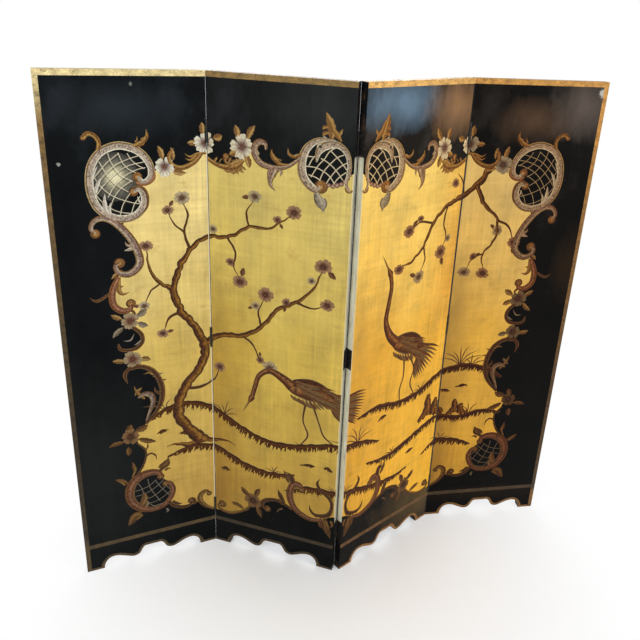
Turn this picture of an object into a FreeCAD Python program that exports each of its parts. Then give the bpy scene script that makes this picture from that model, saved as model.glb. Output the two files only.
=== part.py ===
"""A four-panel folding screen with a lacquered border, a gilt field and three hinged folds.

The panels stand on the floor in a zigzag. +X runs along the screen from its left end to its
right end, -Y is the painted front and +Z is up. The origin is the middle of the screen's
outline on the floor.

Each panel is drawn in a frame of its own: u runs along its width from the left edge, y runs
from its finished front face towards its back, and z is the height above the floor.
"""
import FreeCAD, Part
import math
import os

os.makedirs("parts", exist_ok=True)

# Panel
panel_count = 4
panel_width = 406.4
panel_height = 1524.0
frame_depth = 18.4
skin_thickness = 3.0
ground_thickness = 1.0
panel_depth = ground_thickness + skin_thickness + frame_depth + skin_thickness

# Frame inside the panel
stile_width = 45.0
top_rail_height = 60.0
middle_rail_height = 60.0
tenon_length = 22.0
tenon_thickness = 5.0
tenon_shoulder = 10.0

# Apron board at the foot of the panel: a solid board, sawn to a scalloped lower edge
apron_height = 95.0
apron_tongue_height = 50.0
arch_height = 50.0
foot_lift = 1.0

# Left half of the scalloped edge, from the foot's inner corner to the middle of the panel:
# share of the panel's width, share of the arch's height
scallop_shares = [
    (0.126, 0.00), (0.140, 0.46), (0.182, 0.75), (0.234, 0.74), (0.300, 0.52),
    (0.355, 0.38), (0.394, 0.50), (0.416, 0.80), (0.446, 1.00),
]

# Gilt bands, laid flat on the lacquer
gilt_thickness = 0.25
top_band_width = 15.0
side_band_width = 13.0
apron_line_height = 87.0
apron_line_width = 14.0
edge_band_width = 9.0

# Low relief of the scrollwork
relief_height = 0.25
relief_margin = 0.5
knuckle_margin = 5.0
petal_count = 5
petal_notch_share = 0.72

# Folds: the angle between the two faces on the side of the pins, and the pins' side
fold_angles = (140.7, 123.6, 149.2)
front_side = -1
back_side = 1
pin_sides = (front_side, back_side, front_side)

# Butt hinges, three to a fold
hinge_height = 63.5
low_hinge_rise = 144.5
top_hinge_drop = 153.0
leaf_depth = 24.0
leaf_thickness = 1.6
knuckle_radius = 3.5
knuckles_per_hinge = 5
knuckle_gap = 0.25
pin_radius = 2.0
pin_clearance = 0.06
front_pin_stand_off = 0.4
back_pin_stand_off = 0.2
edge_gap = 0.1
barrel_clearance = 0.35
hinge_centres = (low_hinge_rise, panel_height / 2, panel_height - top_hinge_drop)

# Countersunk screws, staggered down each leaf: share of the leaf's depth, share of its height
screw_radius = 1.75
screw_head_radius = 3.2
screw_length = 18.0
screw_place_shares = [(0.45, 0.18), (0.70, 0.50), (0.45, 0.82)]

# Ornament of the outer panels, drawn for panel 1 and mirrored for panel 4. Each scroll is a
# list of (share of the panel's width, share of its height, share of its width for the half
# breadth of the band there), followed by the shares of the width for a round volute at its
# start and at its end, where 0 means none.
outer_scroll_shares = {
    "upper_cartouche": ([
        (0.552, 0.824, 0.014), (0.586, 0.814, 0.016), (0.631, 0.822, 0.018),
        (0.638, 0.839, 0.020), (0.606, 0.857, 0.022), (0.547, 0.871, 0.024),
        (0.463, 0.878, 0.024), (0.389, 0.875, 0.024), (0.323, 0.864, 0.024),
        (0.278, 0.845, 0.024), (0.261, 0.822, 0.024), (0.266, 0.797, 0.024),
        (0.300, 0.773, 0.024), (0.369, 0.757, 0.024), (0.448, 0.751, 0.024),
        (0.527, 0.756, 0.024), (0.581, 0.772, 0.024), (0.586, 0.791, 0.020),
        (0.557, 0.803, 0.016), (0.522, 0.798, 0.012)], 0.030, 0.028),
    "crest_hook": ([
        (0.328, 0.873, 0.014), (0.315, 0.888, 0.012), (0.281, 0.898, 0.010),
        (0.249, 0.895, 0.010), (0.241, 0.888, 0.010)], 0, 0.016),
    "crest_leaf": ([
        (0.545, 0.876, 0.016), (0.600, 0.884, 0.014), (0.624, 0.893, 0.010),
        (0.621, 0.905, 0.000)], 0, 0),
    "shoulder_scroll": ([
        (0.271, 0.728, 0.012), (0.246, 0.738, 0.014), (0.268, 0.750, 0.016),
        (0.320, 0.755, 0.020), (0.377, 0.749, 0.022), (0.434, 0.734, 0.023),
        (0.488, 0.713, 0.024), (0.522, 0.691, 0.025), (0.534, 0.669, 0.025),
        (0.502, 0.655, 0.024), (0.448, 0.648, 0.022), (0.396, 0.653, 0.018),
        (0.376, 0.665, 0.014), (0.404, 0.671, 0.010)], 0.030, 0.034),
    "waist_scroll": ([
        (0.394, 0.645, 0.014), (0.357, 0.627, 0.020), (0.340, 0.607, 0.022),
        (0.352, 0.589, 0.022), (0.401, 0.578, 0.022), (0.451, 0.580, 0.016),
        (0.458, 0.591, 0.012)], 0, 0.030),
    "waist_tail": ([
        (0.197, 0.611, 0.000), (0.246, 0.603, 0.010), (0.330, 0.615, 0.008)], 0, 0),
    "side_scroll": ([
        (0.460, 0.543, 0.012), (0.510, 0.528, 0.014), (0.517, 0.512, 0.014),
        (0.480, 0.500, 0.014), (0.424, 0.497, 0.012), (0.369, 0.501, 0.012),
        (0.357, 0.513, 0.006)], 0, 0),
    "long_scroll": ([
        (0.419, 0.457, 0.012), (0.493, 0.459, 0.016), (0.567, 0.448, 0.018),
        (0.611, 0.428, 0.020), (0.633, 0.404, 0.020), (0.623, 0.377, 0.018),
        (0.581, 0.354, 0.014), (0.505, 0.331, 0.010)], 0, 0),
    "long_scroll_hook": ([
        (0.425, 0.462, 0.010), (0.384, 0.446, 0.014), (0.398, 0.426, 0.002)], 0, 0),
    "long_scroll_curl": ([
        (0.461, 0.392, 0.006), (0.505, 0.398, 0.018), (0.552, 0.393, 0.022),
        (0.564, 0.377, 0.018), (0.537, 0.357, 0.012), (0.508, 0.338, 0.006)], 0, 0),
    "lower_stem": ([
        (0.430, 0.290, 0.006), (0.485, 0.272, 0.007), (0.488, 0.253, 0.007),
        (0.458, 0.231, 0.008), (0.414, 0.214, 0.008)], 0, 0),
    "lower_cartouche": ([
        (0.586, 0.199, 0.014), (0.571, 0.210, 0.022), (0.505, 0.214, 0.028),
        (0.435, 0.209, 0.032), (0.376, 0.195, 0.034), (0.352, 0.172, 0.034),
        (0.370, 0.149, 0.032), (0.429, 0.130, 0.028), (0.510, 0.122, 0.022),
        (0.592, 0.125, 0.020), (0.653, 0.141, 0.020), (0.674, 0.162, 0.020),
        (0.650, 0.179, 0.016), (0.620, 0.179, 0.010)], 0.026, 0.026),
    "foot_scroll": ([
        (0.630, 0.134, 0.012), (0.680, 0.117, 0.014), (0.750, 0.109, 0.014),
        (0.805, 0.111, 0.012), (0.812, 0.121, 0.010)], 0, 0.026),
    "corner_scroll": ([
        (0.956, 0.128, 0.010), (0.931, 0.136, 0.016), (0.890, 0.131, 0.020),
        (0.880, 0.118, 0.020), (0.906, 0.104, 0.016), (0.956, 0.091, 0.012),
        (1.020, 0.082, 0.010)], 0.020, 0),
    "top_scroll": ([
        (0.975, 0.862, 0.008), (0.916, 0.845, 0.014), (0.833, 0.836, 0.016),
        (0.768, 0.843, 0.014), (0.754, 0.857, 0.010), (0.783, 0.869, 0.000)], 0, 0),
}
outer_blossom_shares = [
    (0.722, 0.840, 0.062), (0.990, 0.878, 0.064), (0.443, 0.556, 0.062),
    (0.443, 0.477, 0.060), (0.389, 0.307, 0.062),
]
# Leaves, as base, tip and breadth: shares of the width and height, then of the width
outer_leaf_shares = [
    (0.715, 0.852, 0.690, 0.874, 0.036), (0.765, 0.832, 0.855, 0.827, 0.036),
    (0.975, 0.893, 0.972, 0.912, 0.040), (0.940, 0.878, 0.880, 0.879, 0.036),
    (0.490, 0.563, 0.556, 0.575, 0.044), (0.490, 0.551, 0.558, 0.543, 0.040),
    (0.395, 0.562, 0.330, 0.572, 0.036), (0.400, 0.545, 0.330, 0.528, 0.036),
    (0.490, 0.475, 0.560, 0.471, 0.038), (0.395, 0.474, 0.315, 0.478, 0.038),
    (0.425, 0.318, 0.510, 0.327, 0.050), (0.440, 0.300, 0.560, 0.287, 0.042),
    (0.345, 0.298, 0.245, 0.293, 0.036), (0.370, 0.285, 0.365, 0.266, 0.040),
    (0.375, 0.320, 0.400, 0.334, 0.040), (0.400, 0.224, 0.390, 0.246, 0.026),
    (0.350, 0.196, 0.265, 0.212, 0.036), (0.430, 0.122, 0.335, 0.096, 0.064),
    (0.585, 0.215, 0.650, 0.238, 0.040),
]

# Ornament of the inner panels, drawn for panel 2 and mirrored for panel 3
inner_scroll_shares = {
    "acanthus": ([
        (-0.02, 0.855, 0.012), (0.059, 0.843, 0.014), (0.133, 0.839, 0.018),
        (0.207, 0.842, 0.022), (0.265, 0.854, 0.004)], 0, 0),
    "acanthus_volute": ([
        (0.175, 0.843, 0.010), (0.130, 0.849, 0.009), (0.135, 0.858, 0.008)], 0, 0.022),
    "crest_scroll": ([
        (0.416, 0.877, 0.008), (0.409, 0.887, 0.014), (0.367, 0.889, 0.020),
        (0.337, 0.879, 0.022), (0.342, 0.865, 0.022), (0.379, 0.853, 0.020),
        (0.441, 0.848, 0.018), (0.515, 0.848, 0.014), (0.576, 0.854, 0.012),
        (0.645, 0.868, 0.010)], 0, 0),
    "crest_inner_leaf": ([
        (0.448, 0.879, 0.000), (0.466, 0.865, 0.014), (0.520, 0.853, 0.012)], 0, 0),
    "crest_hook": ([
        (0.564, 0.883, 0.002), (0.571, 0.874, 0.008), (0.606, 0.870, 0.010),
        (0.660, 0.877, 0.008)], 0, 0),
    "pendant": ([
        (0.480, 0.850, 0.034), (0.448, 0.828, 0.020), (0.453, 0.815, 0.010),
        (0.485, 0.807, 0.000)], 0, 0),
    "centre_ring": ([
        (0.870, 0.903, 0.006), (0.764, 0.901, 0.014), (0.687, 0.887, 0.018),
        (0.650, 0.865, 0.020), (0.653, 0.841, 0.022), (0.695, 0.823, 0.022),
        (0.754, 0.816, 0.020), (0.786, 0.824, 0.012)], 0, 0.042),
    "centre_head": ([
        (0.755, 0.865, 0.004), (0.769, 0.883, 0.020), (0.813, 0.894, 0.026),
        (0.887, 0.897, 0.020), (0.947, 0.886, 0.016), (0.970, 0.867, 0.014),
        (0.966, 0.848, 0.012), (0.955, 0.832, 0.010), (0.985, 0.820, 0.004)], 0, 0),
    "centre_crest": ([
        (0.872, 0.899, 0.056), (0.846, 0.920, 0.046), (0.817, 0.945, 0.000)], 0, 0),
    "centre_pendant": ([
        (0.759, 0.812, 0.016), (0.785, 0.797, 0.028), (0.823, 0.780, 0.000)], 0, 0),
    "corner_volute": ([
        (0.064, 0.102, 0.010), (0.032, 0.096, 0.012), (0.054, 0.086, 0.012),
        (0.128, 0.083, 0.012), (0.202, 0.091, 0.012), (0.261, 0.102, 0.010),
        (0.310, 0.116, 0.008)], 0.030, 0),
    "low_scroll": ([
        (0.453, 0.119, 0.012), (0.409, 0.124, 0.016), (0.419, 0.136, 0.018),
        (0.468, 0.144, 0.016), (0.527, 0.147, 0.014), (0.591, 0.142, 0.012),
        (0.660, 0.133, 0.010)], 0.028, 0),
    "low_leaf": ([
        (0.537, 0.176, 0.000), (0.560, 0.160, 0.018), (0.590, 0.145, 0.012)], 0, 0),
    "great_scroll": ([
        (0.729, 0.189, 0.014), (0.712, 0.200, 0.018), (0.662, 0.198, 0.022),
        (0.636, 0.178, 0.026), (0.643, 0.156, 0.026), (0.682, 0.137, 0.024),
        (0.748, 0.125, 0.022), (0.823, 0.120, 0.018), (0.905, 0.126, 0.012)], 0.028, 0),
    "great_scroll_leaf": ([
        (0.660, 0.200, 0.024), (0.640, 0.216, 0.014), (0.600, 0.225, 0.000)], 0, 0),
    "ring_scroll": ([
        (0.872, 0.227, 0.000), (0.852, 0.213, 0.010), (0.882, 0.198, 0.014),
        (0.936, 0.188, 0.014), (0.970, 0.174, 0.013), (0.972, 0.157, 0.013),
        (0.948, 0.142, 0.018), (0.897, 0.135, 0.016), (0.837, 0.135, 0.012),
        (0.805, 0.144, 0.008), (0.796, 0.157, 0.000)], 0, 0),
    "tassel": ([
        (0.925, 0.132, 0.022), (0.941, 0.108, 0.024), (0.966, 0.085, 0.000)], 0, 0),
}
inner_blossom_shares = [
    (-0.010, 0.878, 0.064), (0.251, 0.878, 0.074), (0.330, 0.131, 0.066),
]
inner_leaf_shares = [
    (0.045, 0.888, 0.105, 0.893, 0.048), (0.225, 0.892, 0.205, 0.912, 0.044),
    (0.285, 0.892, 0.335, 0.914, 0.044), (0.215, 0.868, 0.165, 0.862, 0.044),
    (0.275, 0.866, 0.300, 0.844, 0.044), (0.305, 0.140, 0.235, 0.158, 0.042),
    (0.350, 0.142, 0.385, 0.164, 0.042), (0.365, 0.122, 0.400, 0.094, 0.044),
    (0.250, 0.104, 0.150, 0.112, 0.036),
]

# Edge of the gilt field, which runs under the scrolls: share of the width, share of the height
outer_field_shares = [
    (1.000, 0.866), (0.975, 0.862), (0.916, 0.845), (0.833, 0.836), (0.768, 0.843),
    (0.722, 0.840), (0.640, 0.830), (0.631, 0.822), (0.586, 0.812), (0.572, 0.804),
    (0.586, 0.791), (0.581, 0.772), (0.527, 0.756), (0.455, 0.749), (0.434, 0.734),
    (0.488, 0.713), (0.522, 0.691), (0.534, 0.669), (0.502, 0.655), (0.448, 0.648),
    (0.394, 0.647), (0.357, 0.627), (0.340, 0.607), (0.352, 0.589), (0.401, 0.578),
    (0.443, 0.572), (0.443, 0.550), (0.510, 0.528), (0.517, 0.512), (0.480, 0.500),
    (0.443, 0.495), (0.443, 0.460), (0.493, 0.459), (0.567, 0.448), (0.611, 0.428),
    (0.633, 0.404), (0.623, 0.377), (0.581, 0.354), (0.505, 0.331), (0.420, 0.310),
    (0.440, 0.290), (0.485, 0.272), (0.488, 0.253), (0.458, 0.231), (0.430, 0.213),
    (0.505, 0.214), (0.571, 0.210), (0.592, 0.196), (0.638, 0.184), (0.674, 0.162),
    (0.653, 0.141), (0.640, 0.131), (0.680, 0.117), (0.750, 0.109), (0.830, 0.111),
    (0.880, 0.116), (0.906, 0.104), (0.956, 0.091), (1.000, 0.084),
]
inner_field_shares = [
    (0.000, 0.852), (0.059, 0.843), (0.133, 0.839), (0.207, 0.842), (0.265, 0.858),
    (0.330, 0.872), (0.342, 0.865), (0.379, 0.853), (0.441, 0.848), (0.515, 0.848),
    (0.576, 0.854), (0.650, 0.868), (0.650, 0.865), (0.653, 0.841), (0.695, 0.823),
    (0.754, 0.816), (0.800, 0.822), (0.850, 0.829), (0.910, 0.832), (0.958, 0.838),
    (0.966, 0.846), (1.000, 0.852), (1.000, 0.140), (0.955, 0.136), (0.905, 0.126),
    (0.823, 0.120), (0.748, 0.125), (0.682, 0.137), (0.660, 0.133), (0.591, 0.142),
    (0.527, 0.147), (0.468, 0.144), (0.419, 0.136), (0.330, 0.128), (0.310, 0.116),
    (0.261, 0.102), (0.202, 0.091), (0.128, 0.083), (0.054, 0.084), (0.000, 0.084),
]

# Places across the thickness of the panel
skin_front = ground_thickness
frame_front = skin_front + skin_thickness
frame_back = frame_front + frame_depth
frame_middle = (frame_front + frame_back) / 2
tenon_front = frame_middle - tenon_thickness / 2
tenon_back = frame_middle + tenon_thickness / 2

upwards = FreeCAD.Vector(0, 0, 1)
rightwards = FreeCAD.Vector(1, 0, 0)
backwards = FreeCAD.Vector(0, 1, 0)


def block(u_span, y_span, z_span):
    """A rectangular block from its low and high places along u, y and z."""
    corner = FreeCAD.Vector(u_span[0], y_span[0], z_span[0])
    return Part.makeBox(u_span[1] - u_span[0], y_span[1] - y_span[0], z_span[1] - z_span[0], corner)


def upright(u, z):
    """A point of the panel's face."""
    return FreeCAD.Vector(u, 0, z)


def prism(wires, y_low, y_high):
    """A plate between two depths, from an outline on the panel's face and its holes."""
    face = Part.Face(wires, "Part::FaceMakerBullseye")
    face.translate(backwards * y_low)
    return face.extrude(backwards * (y_high - y_low))


def line(start, end):
    """A straight edge."""
    return Part.LineSegment(start, end).toShape()


def smooth_edge(points):
    """A smooth curve through the points."""
    curve = Part.BSplineCurve()
    curve.interpolate(points)
    return curve.toShape()


def sawn_edge(points, start_way, end_way):
    """A smooth curve through the points that leaves and arrives in the given directions."""
    curve = Part.BSplineCurve()
    curve.interpolate(Points=points, InitialTangent=start_way, FinalTangent=end_way, Scale=False)
    return curve.toShape()


def at_shares(pairs, mirrored):
    """Places on the panel's face from shares of its width and height."""
    places = []
    for across, up in pairs:
        across = 1 - across if mirrored else across
        places.append(upright(panel_width * across, panel_height * up))
    return places


# Hinges


def hinge_spans():
    """The lowest and highest place of each hinge of a fold."""
    return [(centre - hinge_height / 2, centre + hinge_height / 2) for centre in hinge_centres]


def leaf_span(side):
    """The depths between which a leaf lies, measured from the face beside its pin."""
    if side == front_side:
        return (0.0, leaf_depth)
    return (panel_depth - leaf_depth, panel_depth)


def edge_span(on_right, thickness):
    """A strip of the given thickness just inside the panel's left or right edge."""
    if on_right:
        return (panel_width - thickness, panel_width)
    return (0.0, thickness)


def pin_place(on_right, side):
    """The u and y of the pin's axis beside one edge of a panel."""
    u = panel_width + edge_gap / 2 if on_right else -edge_gap / 2
    y = -front_pin_stand_off if side == front_side else panel_depth + back_pin_stand_off
    return u, y


def barrel_room(on_right, side, low, high):
    """The round clearance for a barrel beside one edge of a panel."""
    pin_u, pin_y = pin_place(on_right, side)
    foot = FreeCAD.Vector(pin_u, pin_y, low)
    return Part.makeCylinder(knuckle_radius + barrel_clearance, high - low, foot)


def mortises(on_right, side):
    """The shallow seats that the leaves are let into, with the hollows beside the barrels."""
    seats = []
    for low, high in hinge_spans():
        seats.append(block(edge_span(on_right, leaf_thickness), leaf_span(side), (low, high)))
        seats.append(barrel_room(on_right, side, low - barrel_clearance, high + barrel_clearance))
    return seats


def screw(on_right, y, z):
    """A countersunk screw driven square into the panel's edge."""
    u = panel_width if on_right else 0.0
    inwards = -1 if on_right else 1
    direction = rightwards * inwards
    top = FreeCAD.Vector(u, y, z)
    head = Part.makeCone(screw_head_radius, screw_radius, leaf_thickness, top, direction)
    shank = Part.makeCylinder(screw_radius, screw_length, top + direction * leaf_thickness, direction)
    return head.fuse(shank).removeSplitter()


def fold_screws(on_right, side):
    """All the screws of one side of a fold."""
    near, far = leaf_span(side)
    screws = []
    for low, high in hinge_spans():
        for depth_share, height_share in screw_place_shares:
            depth = leaf_depth * depth_share
            y = near + depth if side == front_side else far - depth
            screws.append(screw(on_right, y, low + hinge_height * height_share))
    return screws


def knuckle_spans(low, first):
    """Every second length of the barrel, starting with the given one."""
    pitch = hinge_height / knuckles_per_hinge
    spans = []
    for number in range(first, knuckles_per_hinge, 2):
        start = low + pitch * number
        spans.append((start + knuckle_gap / 2, start + pitch - knuckle_gap / 2))
    return spans


def hinge_leaf(low, high, on_right, side):
    """One leaf: its plate, the tongues to the barrel, its knuckles, the bore and screw seats."""
    pin_u, pin_y = pin_place(on_right, side)
    strip = edge_span(on_right, leaf_thickness)
    leaf = block(strip, leaf_span(side), (low, high)).cut(barrel_room(on_right, side, low, high))
    tongue_reach = knuckle_radius + 2 * barrel_clearance
    tongue = (pin_y, pin_y + tongue_reach) if side == front_side else (pin_y - tongue_reach, pin_y)
    for span in knuckle_spans(low, 0 if on_right else 1):
        barrel = Part.makeCylinder(knuckle_radius, span[1] - span[0], FreeCAD.Vector(pin_u, pin_y, span[0]))
        leaf = leaf.fuse(block(strip, tongue, span)).fuse(barrel)
    bore_radius = pin_radius + pin_clearance
    bore = Part.makeCylinder(bore_radius, high - low, FreeCAD.Vector(pin_u, pin_y, low))
    return leaf.removeSplitter().cut(bore)


def fold_leaves(on_right, side, screws):
    """The three leaves on one side of a fold."""
    leaves = [hinge_leaf(low, high, on_right, side) for low, high in hinge_spans()]
    return [leaf.cut(screws) for leaf in leaves]


def fold_pins(side):
    """The three pins of a fold, beside the right edge of its left panel."""
    pin_u, pin_y = pin_place(True, side)
    return [Part.makeCylinder(pin_radius, hinge_height, FreeCAD.Vector(pin_u, pin_y, low))
            for low, high in hinge_spans()]


# Wooden frame


def stile(on_right):
    """An upright of the frame with a tenon down into the apron board."""
    span = edge_span(on_right, stile_width)
    upright_bar = block(span, (frame_front, frame_back), (apron_height, panel_height))
    tenon_u = (span[0] + tenon_shoulder, span[1] - tenon_shoulder)
    tenon = block(tenon_u, (tenon_front, tenon_back), (apron_height - tenon_length, apron_height))
    return upright_bar.fuse(tenon).removeSplitter()


def rail(low, height):
    """A cross bar between the stiles with a tenon at each end."""
    bar = block((stile_width, panel_width - stile_width), (frame_front, frame_back), (low, low + height))
    tenon_u = (stile_width - tenon_length, panel_width - stile_width + tenon_length)
    tenon_z = (low + tenon_shoulder, low + height - tenon_shoulder)
    tenon = block(tenon_u, (tenon_front, tenon_back), tenon_z)
    return bar.fuse(tenon).removeSplitter()


def scallop_points():
    """The scalloped edge from foot to foot."""
    left = [upright(panel_width * across, arch_height * up) for across, up in scallop_shares]
    right = [upright(panel_width - point.x, point.z) for point in reversed(left)]
    return left + right


def arch_edges(points):
    """A curve up from the left foot, the arch's level crown, and the same curve down."""
    half = len(points) // 2
    rise = sawn_edge(points[:half], upwards, rightwards)
    fall = sawn_edge(points[half:], rightwards, upwards * -1)
    return [rise, line(points[half - 1], points[half]), fall]


def front_outline():
    """The outline of the whole front."""
    points = scallop_points()
    left_foot = [upright(0, 0), points[0]]
    right_foot = [points[-1], upright(panel_width, 0)]
    top = [upright(panel_width, panel_height), upright(0, panel_height)]
    corners = right_foot + top + left_foot
    edges = [line(a, b) for a, b in zip(corners, corners[1:])]
    return Part.Wire(Part.__sortEdges__(edges + arch_edges(points)))


def apron_board():
    """The solid scalloped board, with the tongue that joins the stiles above it."""
    board = prism([front_outline()], skin_front, panel_depth)
    board = board.common(block((0.0, panel_width), (0.0, panel_depth), (0.0, apron_height)))
    tongue_u = (stile_width, panel_width - stile_width)
    tongue_z = (apron_height, apron_height + apron_tongue_height)
    return board.fuse(block(tongue_u, (frame_front, frame_back), tongue_z)).removeSplitter()


def skin(y_low):
    """A thin sheet over the frame, from the apron board to the top."""
    return block((0.0, panel_width), (y_low, y_low + skin_thickness), (apron_height, panel_height))


# Finished front


def field_wire(outer, mirrored):
    """The edge of the gilt field."""
    points = at_shares(outer_field_shares if outer else inner_field_shares, mirrored)
    return Part.makePolygon(points + points[:1])


def gilt_field(outer, mirrored):
    """The gold-leafed field, let into the lacquer ground."""
    return prism([field_wire(outer, mirrored)], 0.0, ground_thickness)


def lacquer_ground(outer, mirrored):
    """The lacquered border around the field, down to just above the floor."""
    front = prism([front_outline()], 0.0, ground_thickness)
    floor_strip = block((0.0, panel_width), (0.0, ground_thickness), (0.0, foot_lift))
    return front.cut([floor_strip, gilt_field(outer, mirrored)])


def edge_band():
    """The gilt line that follows the feet and the scalloped edge."""
    lower = scallop_points()
    upper = []
    for before, point, after in zip(lower, lower[1:], lower[2:]):
        along = after - before
        out = FreeCAD.Vector(-along.z, 0, along.x)
        upper.append(point + out * (edge_band_width / along.Length))
    left_crown = len(upper) // 2 - 1
    upper[left_crown] = lower[left_crown + 1] + upwards * edge_band_width
    upper[left_crown + 1] = lower[left_crown + 2] + upwards * edge_band_width
    left_heel = upright(lower[0].x - edge_band_width, edge_band_width)
    right_heel = upright(lower[-1].x + edge_band_width, edge_band_width)
    upper = [left_heel] + upper + [right_heel]
    left_end = [left_heel, upright(0, edge_band_width), upright(0, 0), lower[0]]
    right_end = [lower[-1], upright(panel_width, 0), upright(panel_width, edge_band_width), right_heel]
    edges = [line(a, b) for a, b in zip(left_end, left_end[1:])]
    edges += [line(a, b) for a, b in zip(right_end, right_end[1:])]
    outline = Part.Wire(Part.__sortEdges__(edges + arch_edges(lower) + arch_edges(upper)))
    band = prism([outline], -gilt_thickness, 0.0)
    return band.cut(block((0.0, panel_width), (-gilt_thickness, 0.0), (0.0, foot_lift)))


def gilt_bands(number):
    """The flat gilt bands of one panel: along the top, the outer side, the apron and its edge."""
    depth = (-gilt_thickness, 0.0)
    low, high = 0.0, panel_width
    bands = []
    if number in (1, panel_count):
        on_right = number == panel_count
        side_z = (edge_band_width, panel_height - top_band_width)
        bands.append(block(edge_span(on_right, side_band_width), depth, side_z))
        low, high = (low, high - side_band_width) if on_right else (side_band_width, high)
    bands.append(block((0.0, panel_width), depth, (panel_height - top_band_width, panel_height)))
    bands.append(block((low, high), depth, (apron_line_height, apron_line_height + apron_line_width)))
    bands.append(edge_band())
    return bands


def scroll(shares, start_share, end_share, mirrored):
    """A tapering band along a smooth line, with a round volute where one is given."""
    centres = at_shares([(across, up) for across, up, breadth in shares], mirrored)
    left, right = [], []
    for number, centre in enumerate(centres):
        along = centres[min(number + 1, len(centres) - 1)] - centres[max(number - 1, 0)]
        reach = FreeCAD.Vector(-along.z, 0, along.x) * (panel_width * shares[number][2] / along.Length)
        left.append(centre + reach)
        right.append(centre - reach)
    edges = [smooth_edge(left), smooth_edge(right)]
    for end in (0, -1):
        if shares[end][2]:
            edges.append(line(left[end], right[end]))
    band = prism([Part.Wire(Part.__sortEdges__(edges))], -relief_height, 0.0)
    pieces = [band]
    for end, share in ((0, start_share), (-1, end_share)):
        if share:
            seat = centres[end] - backwards * relief_height
            pieces.append(Part.makeCylinder(panel_width * share, relief_height, seat, backwards))
    return pieces


def blossom(across, up, share, mirrored):
    """A five-petalled flower with round petals."""
    centre = at_shares([(across, up)], mirrored)[0]
    reach = panel_width * share
    half_turn = math.pi / petal_count

    def rim(step, radius):
        turn = half_turn * step
        return centre + FreeCAD.Vector(math.sin(turn), 0, math.cos(turn)) * radius

    edges = []
    for petal in range(petal_count):
        first = 2 * petal - 1
        notches = [rim(first, reach * petal_notch_share), rim(first + 2, reach * petal_notch_share)]
        edges.append(Part.Arc(notches[0], rim(first + 1, reach), notches[1]).toShape())
    return prism([Part.Wire(edges)], -relief_height, 0.0)


def leaf(base_across, base_up, tip_across, tip_up, breadth_share, mirrored):
    """A pointed leaf between its base and its tip."""
    base, tip = at_shares([(base_across, base_up), (tip_across, tip_up)], mirrored)
    along = tip - base
    out = FreeCAD.Vector(-along.z, 0, along.x) * (panel_width * breadth_share / 2 / along.Length)
    middle = (base + tip) / 2
    sides = [Part.Arc(base, middle + out, tip).toShape(), Part.Arc(tip, middle - out, base).toShape()]
    return prism([Part.Wire(sides)], -relief_height, 0.0)


def scrollwork(outer, mirrored, knuckle_edges):
    """The raised border of scrolls, blossoms and leaves, kept clear of the hinge barrels."""
    scrolls = outer_scroll_shares if outer else inner_scroll_shares
    pieces = []
    for shares, start_share, end_share in scrolls.values():
        pieces += scroll(shares, start_share, end_share, mirrored)
    for row in outer_blossom_shares if outer else inner_blossom_shares:
        pieces.append(blossom(*row, mirrored))
    for row in outer_leaf_shares if outer else inner_leaf_shares:
        pieces.append(leaf(*row, mirrored))
    joined = pieces[0].fuse(pieces[1:]).removeSplitter()
    inside = (relief_margin, panel_width - relief_margin)
    joined = joined.common(block(inside, (-relief_height, 0.0), (0.0, panel_height)))
    depth = (-relief_height, 0.0)
    for on_right in knuckle_edges:
        for low, high in hinge_spans():
            span = (low - relief_margin, high + relief_margin)
            joined = joined.cut(block(edge_span(on_right, knuckle_margin), depth, span))
    return joined.Solids


# Whole panels and folds


def panel_hinges(number):
    """The hinged edges of a panel: whether each is its right edge, and its fold's pin side."""
    edges = []
    if number > 1:
        edges.append((False, pin_sides[number - 2]))
    if number < panel_count:
        edges.append((True, pin_sides[number - 1]))
    return edges


def panel_pieces(number):
    """Every piece of one panel in the panel's own frame."""
    outer = number in (1, panel_count)
    mirrored = number > panel_count / 2
    middle_low = (panel_height - middle_rail_height) / 2
    top_low = panel_height - top_rail_height
    rails = [rail(top_low, top_rail_height), rail(middle_low, middle_rail_height)]
    stiles = [stile(False), stile(True)]
    apron = apron_board().cut(stiles)
    stiles = [bar.cut(rails) for bar in stiles]
    pieces = {
        "left_stile": stiles[0],
        "right_stile": stiles[1],
        "top_rail": rails[0],
        "middle_rail": rails[1],
        "apron_board": apron,
        "front_skin": skin(skin_front),
        "back_skin": skin(frame_back),
        "lacquer_ground": lacquer_ground(outer, mirrored),
        "gold_field": gilt_field(outer, mirrored),
    }
    knuckle_edges = []
    for on_right, side in panel_hinges(number):
        cutters = mortises(on_right, side) + fold_screws(on_right, side)
        stile_name = "right_stile" if on_right else "left_stile"
        for name in (stile_name, "front_skin", "back_skin", "lacquer_ground", "gold_field"):
            pieces[name] = pieces[name].cut(cutters)
        if side == front_side:
            knuckle_edges.append(on_right)
    solids = {name: shape.Solids for name, shape in pieces.items()}
    solids["scrollwork"] = scrollwork(outer, mirrored, knuckle_edges)
    solids["gilt_bands"] = gilt_bands(number)
    return solids


def turned(u, y, heading):
    """A place in a panel's own frame, turned to the panel's heading."""
    return FreeCAD.Rotation(upwards, heading).multVec(FreeCAD.Vector(u, y, 0))


def headings():
    """The headings of the panels, with the screen's two outer front corners in line along X."""
    turns = [0.0]
    for side, angle in zip(pin_sides, fold_angles):
        turns.append(turns[-1] + side * (180 - angle))
    corners = panel_corners(turns)
    span = turned(panel_width, 0, turns[-1]) + corners[-1] - corners[0]
    return [turn - math.degrees(math.atan2(span.y, span.x)) for turn in turns]


def panel_corners(turns):
    """The floor place of each panel's left front corner, with the first at zero."""
    corners = [FreeCAD.Vector(0, 0, 0)]
    for number, side in enumerate(pin_sides):
        pin = corners[-1] + turned(*pin_place(True, side), turns[number])
        corners.append(pin - turned(*pin_place(False, side), turns[number + 1]))
    return corners


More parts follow.
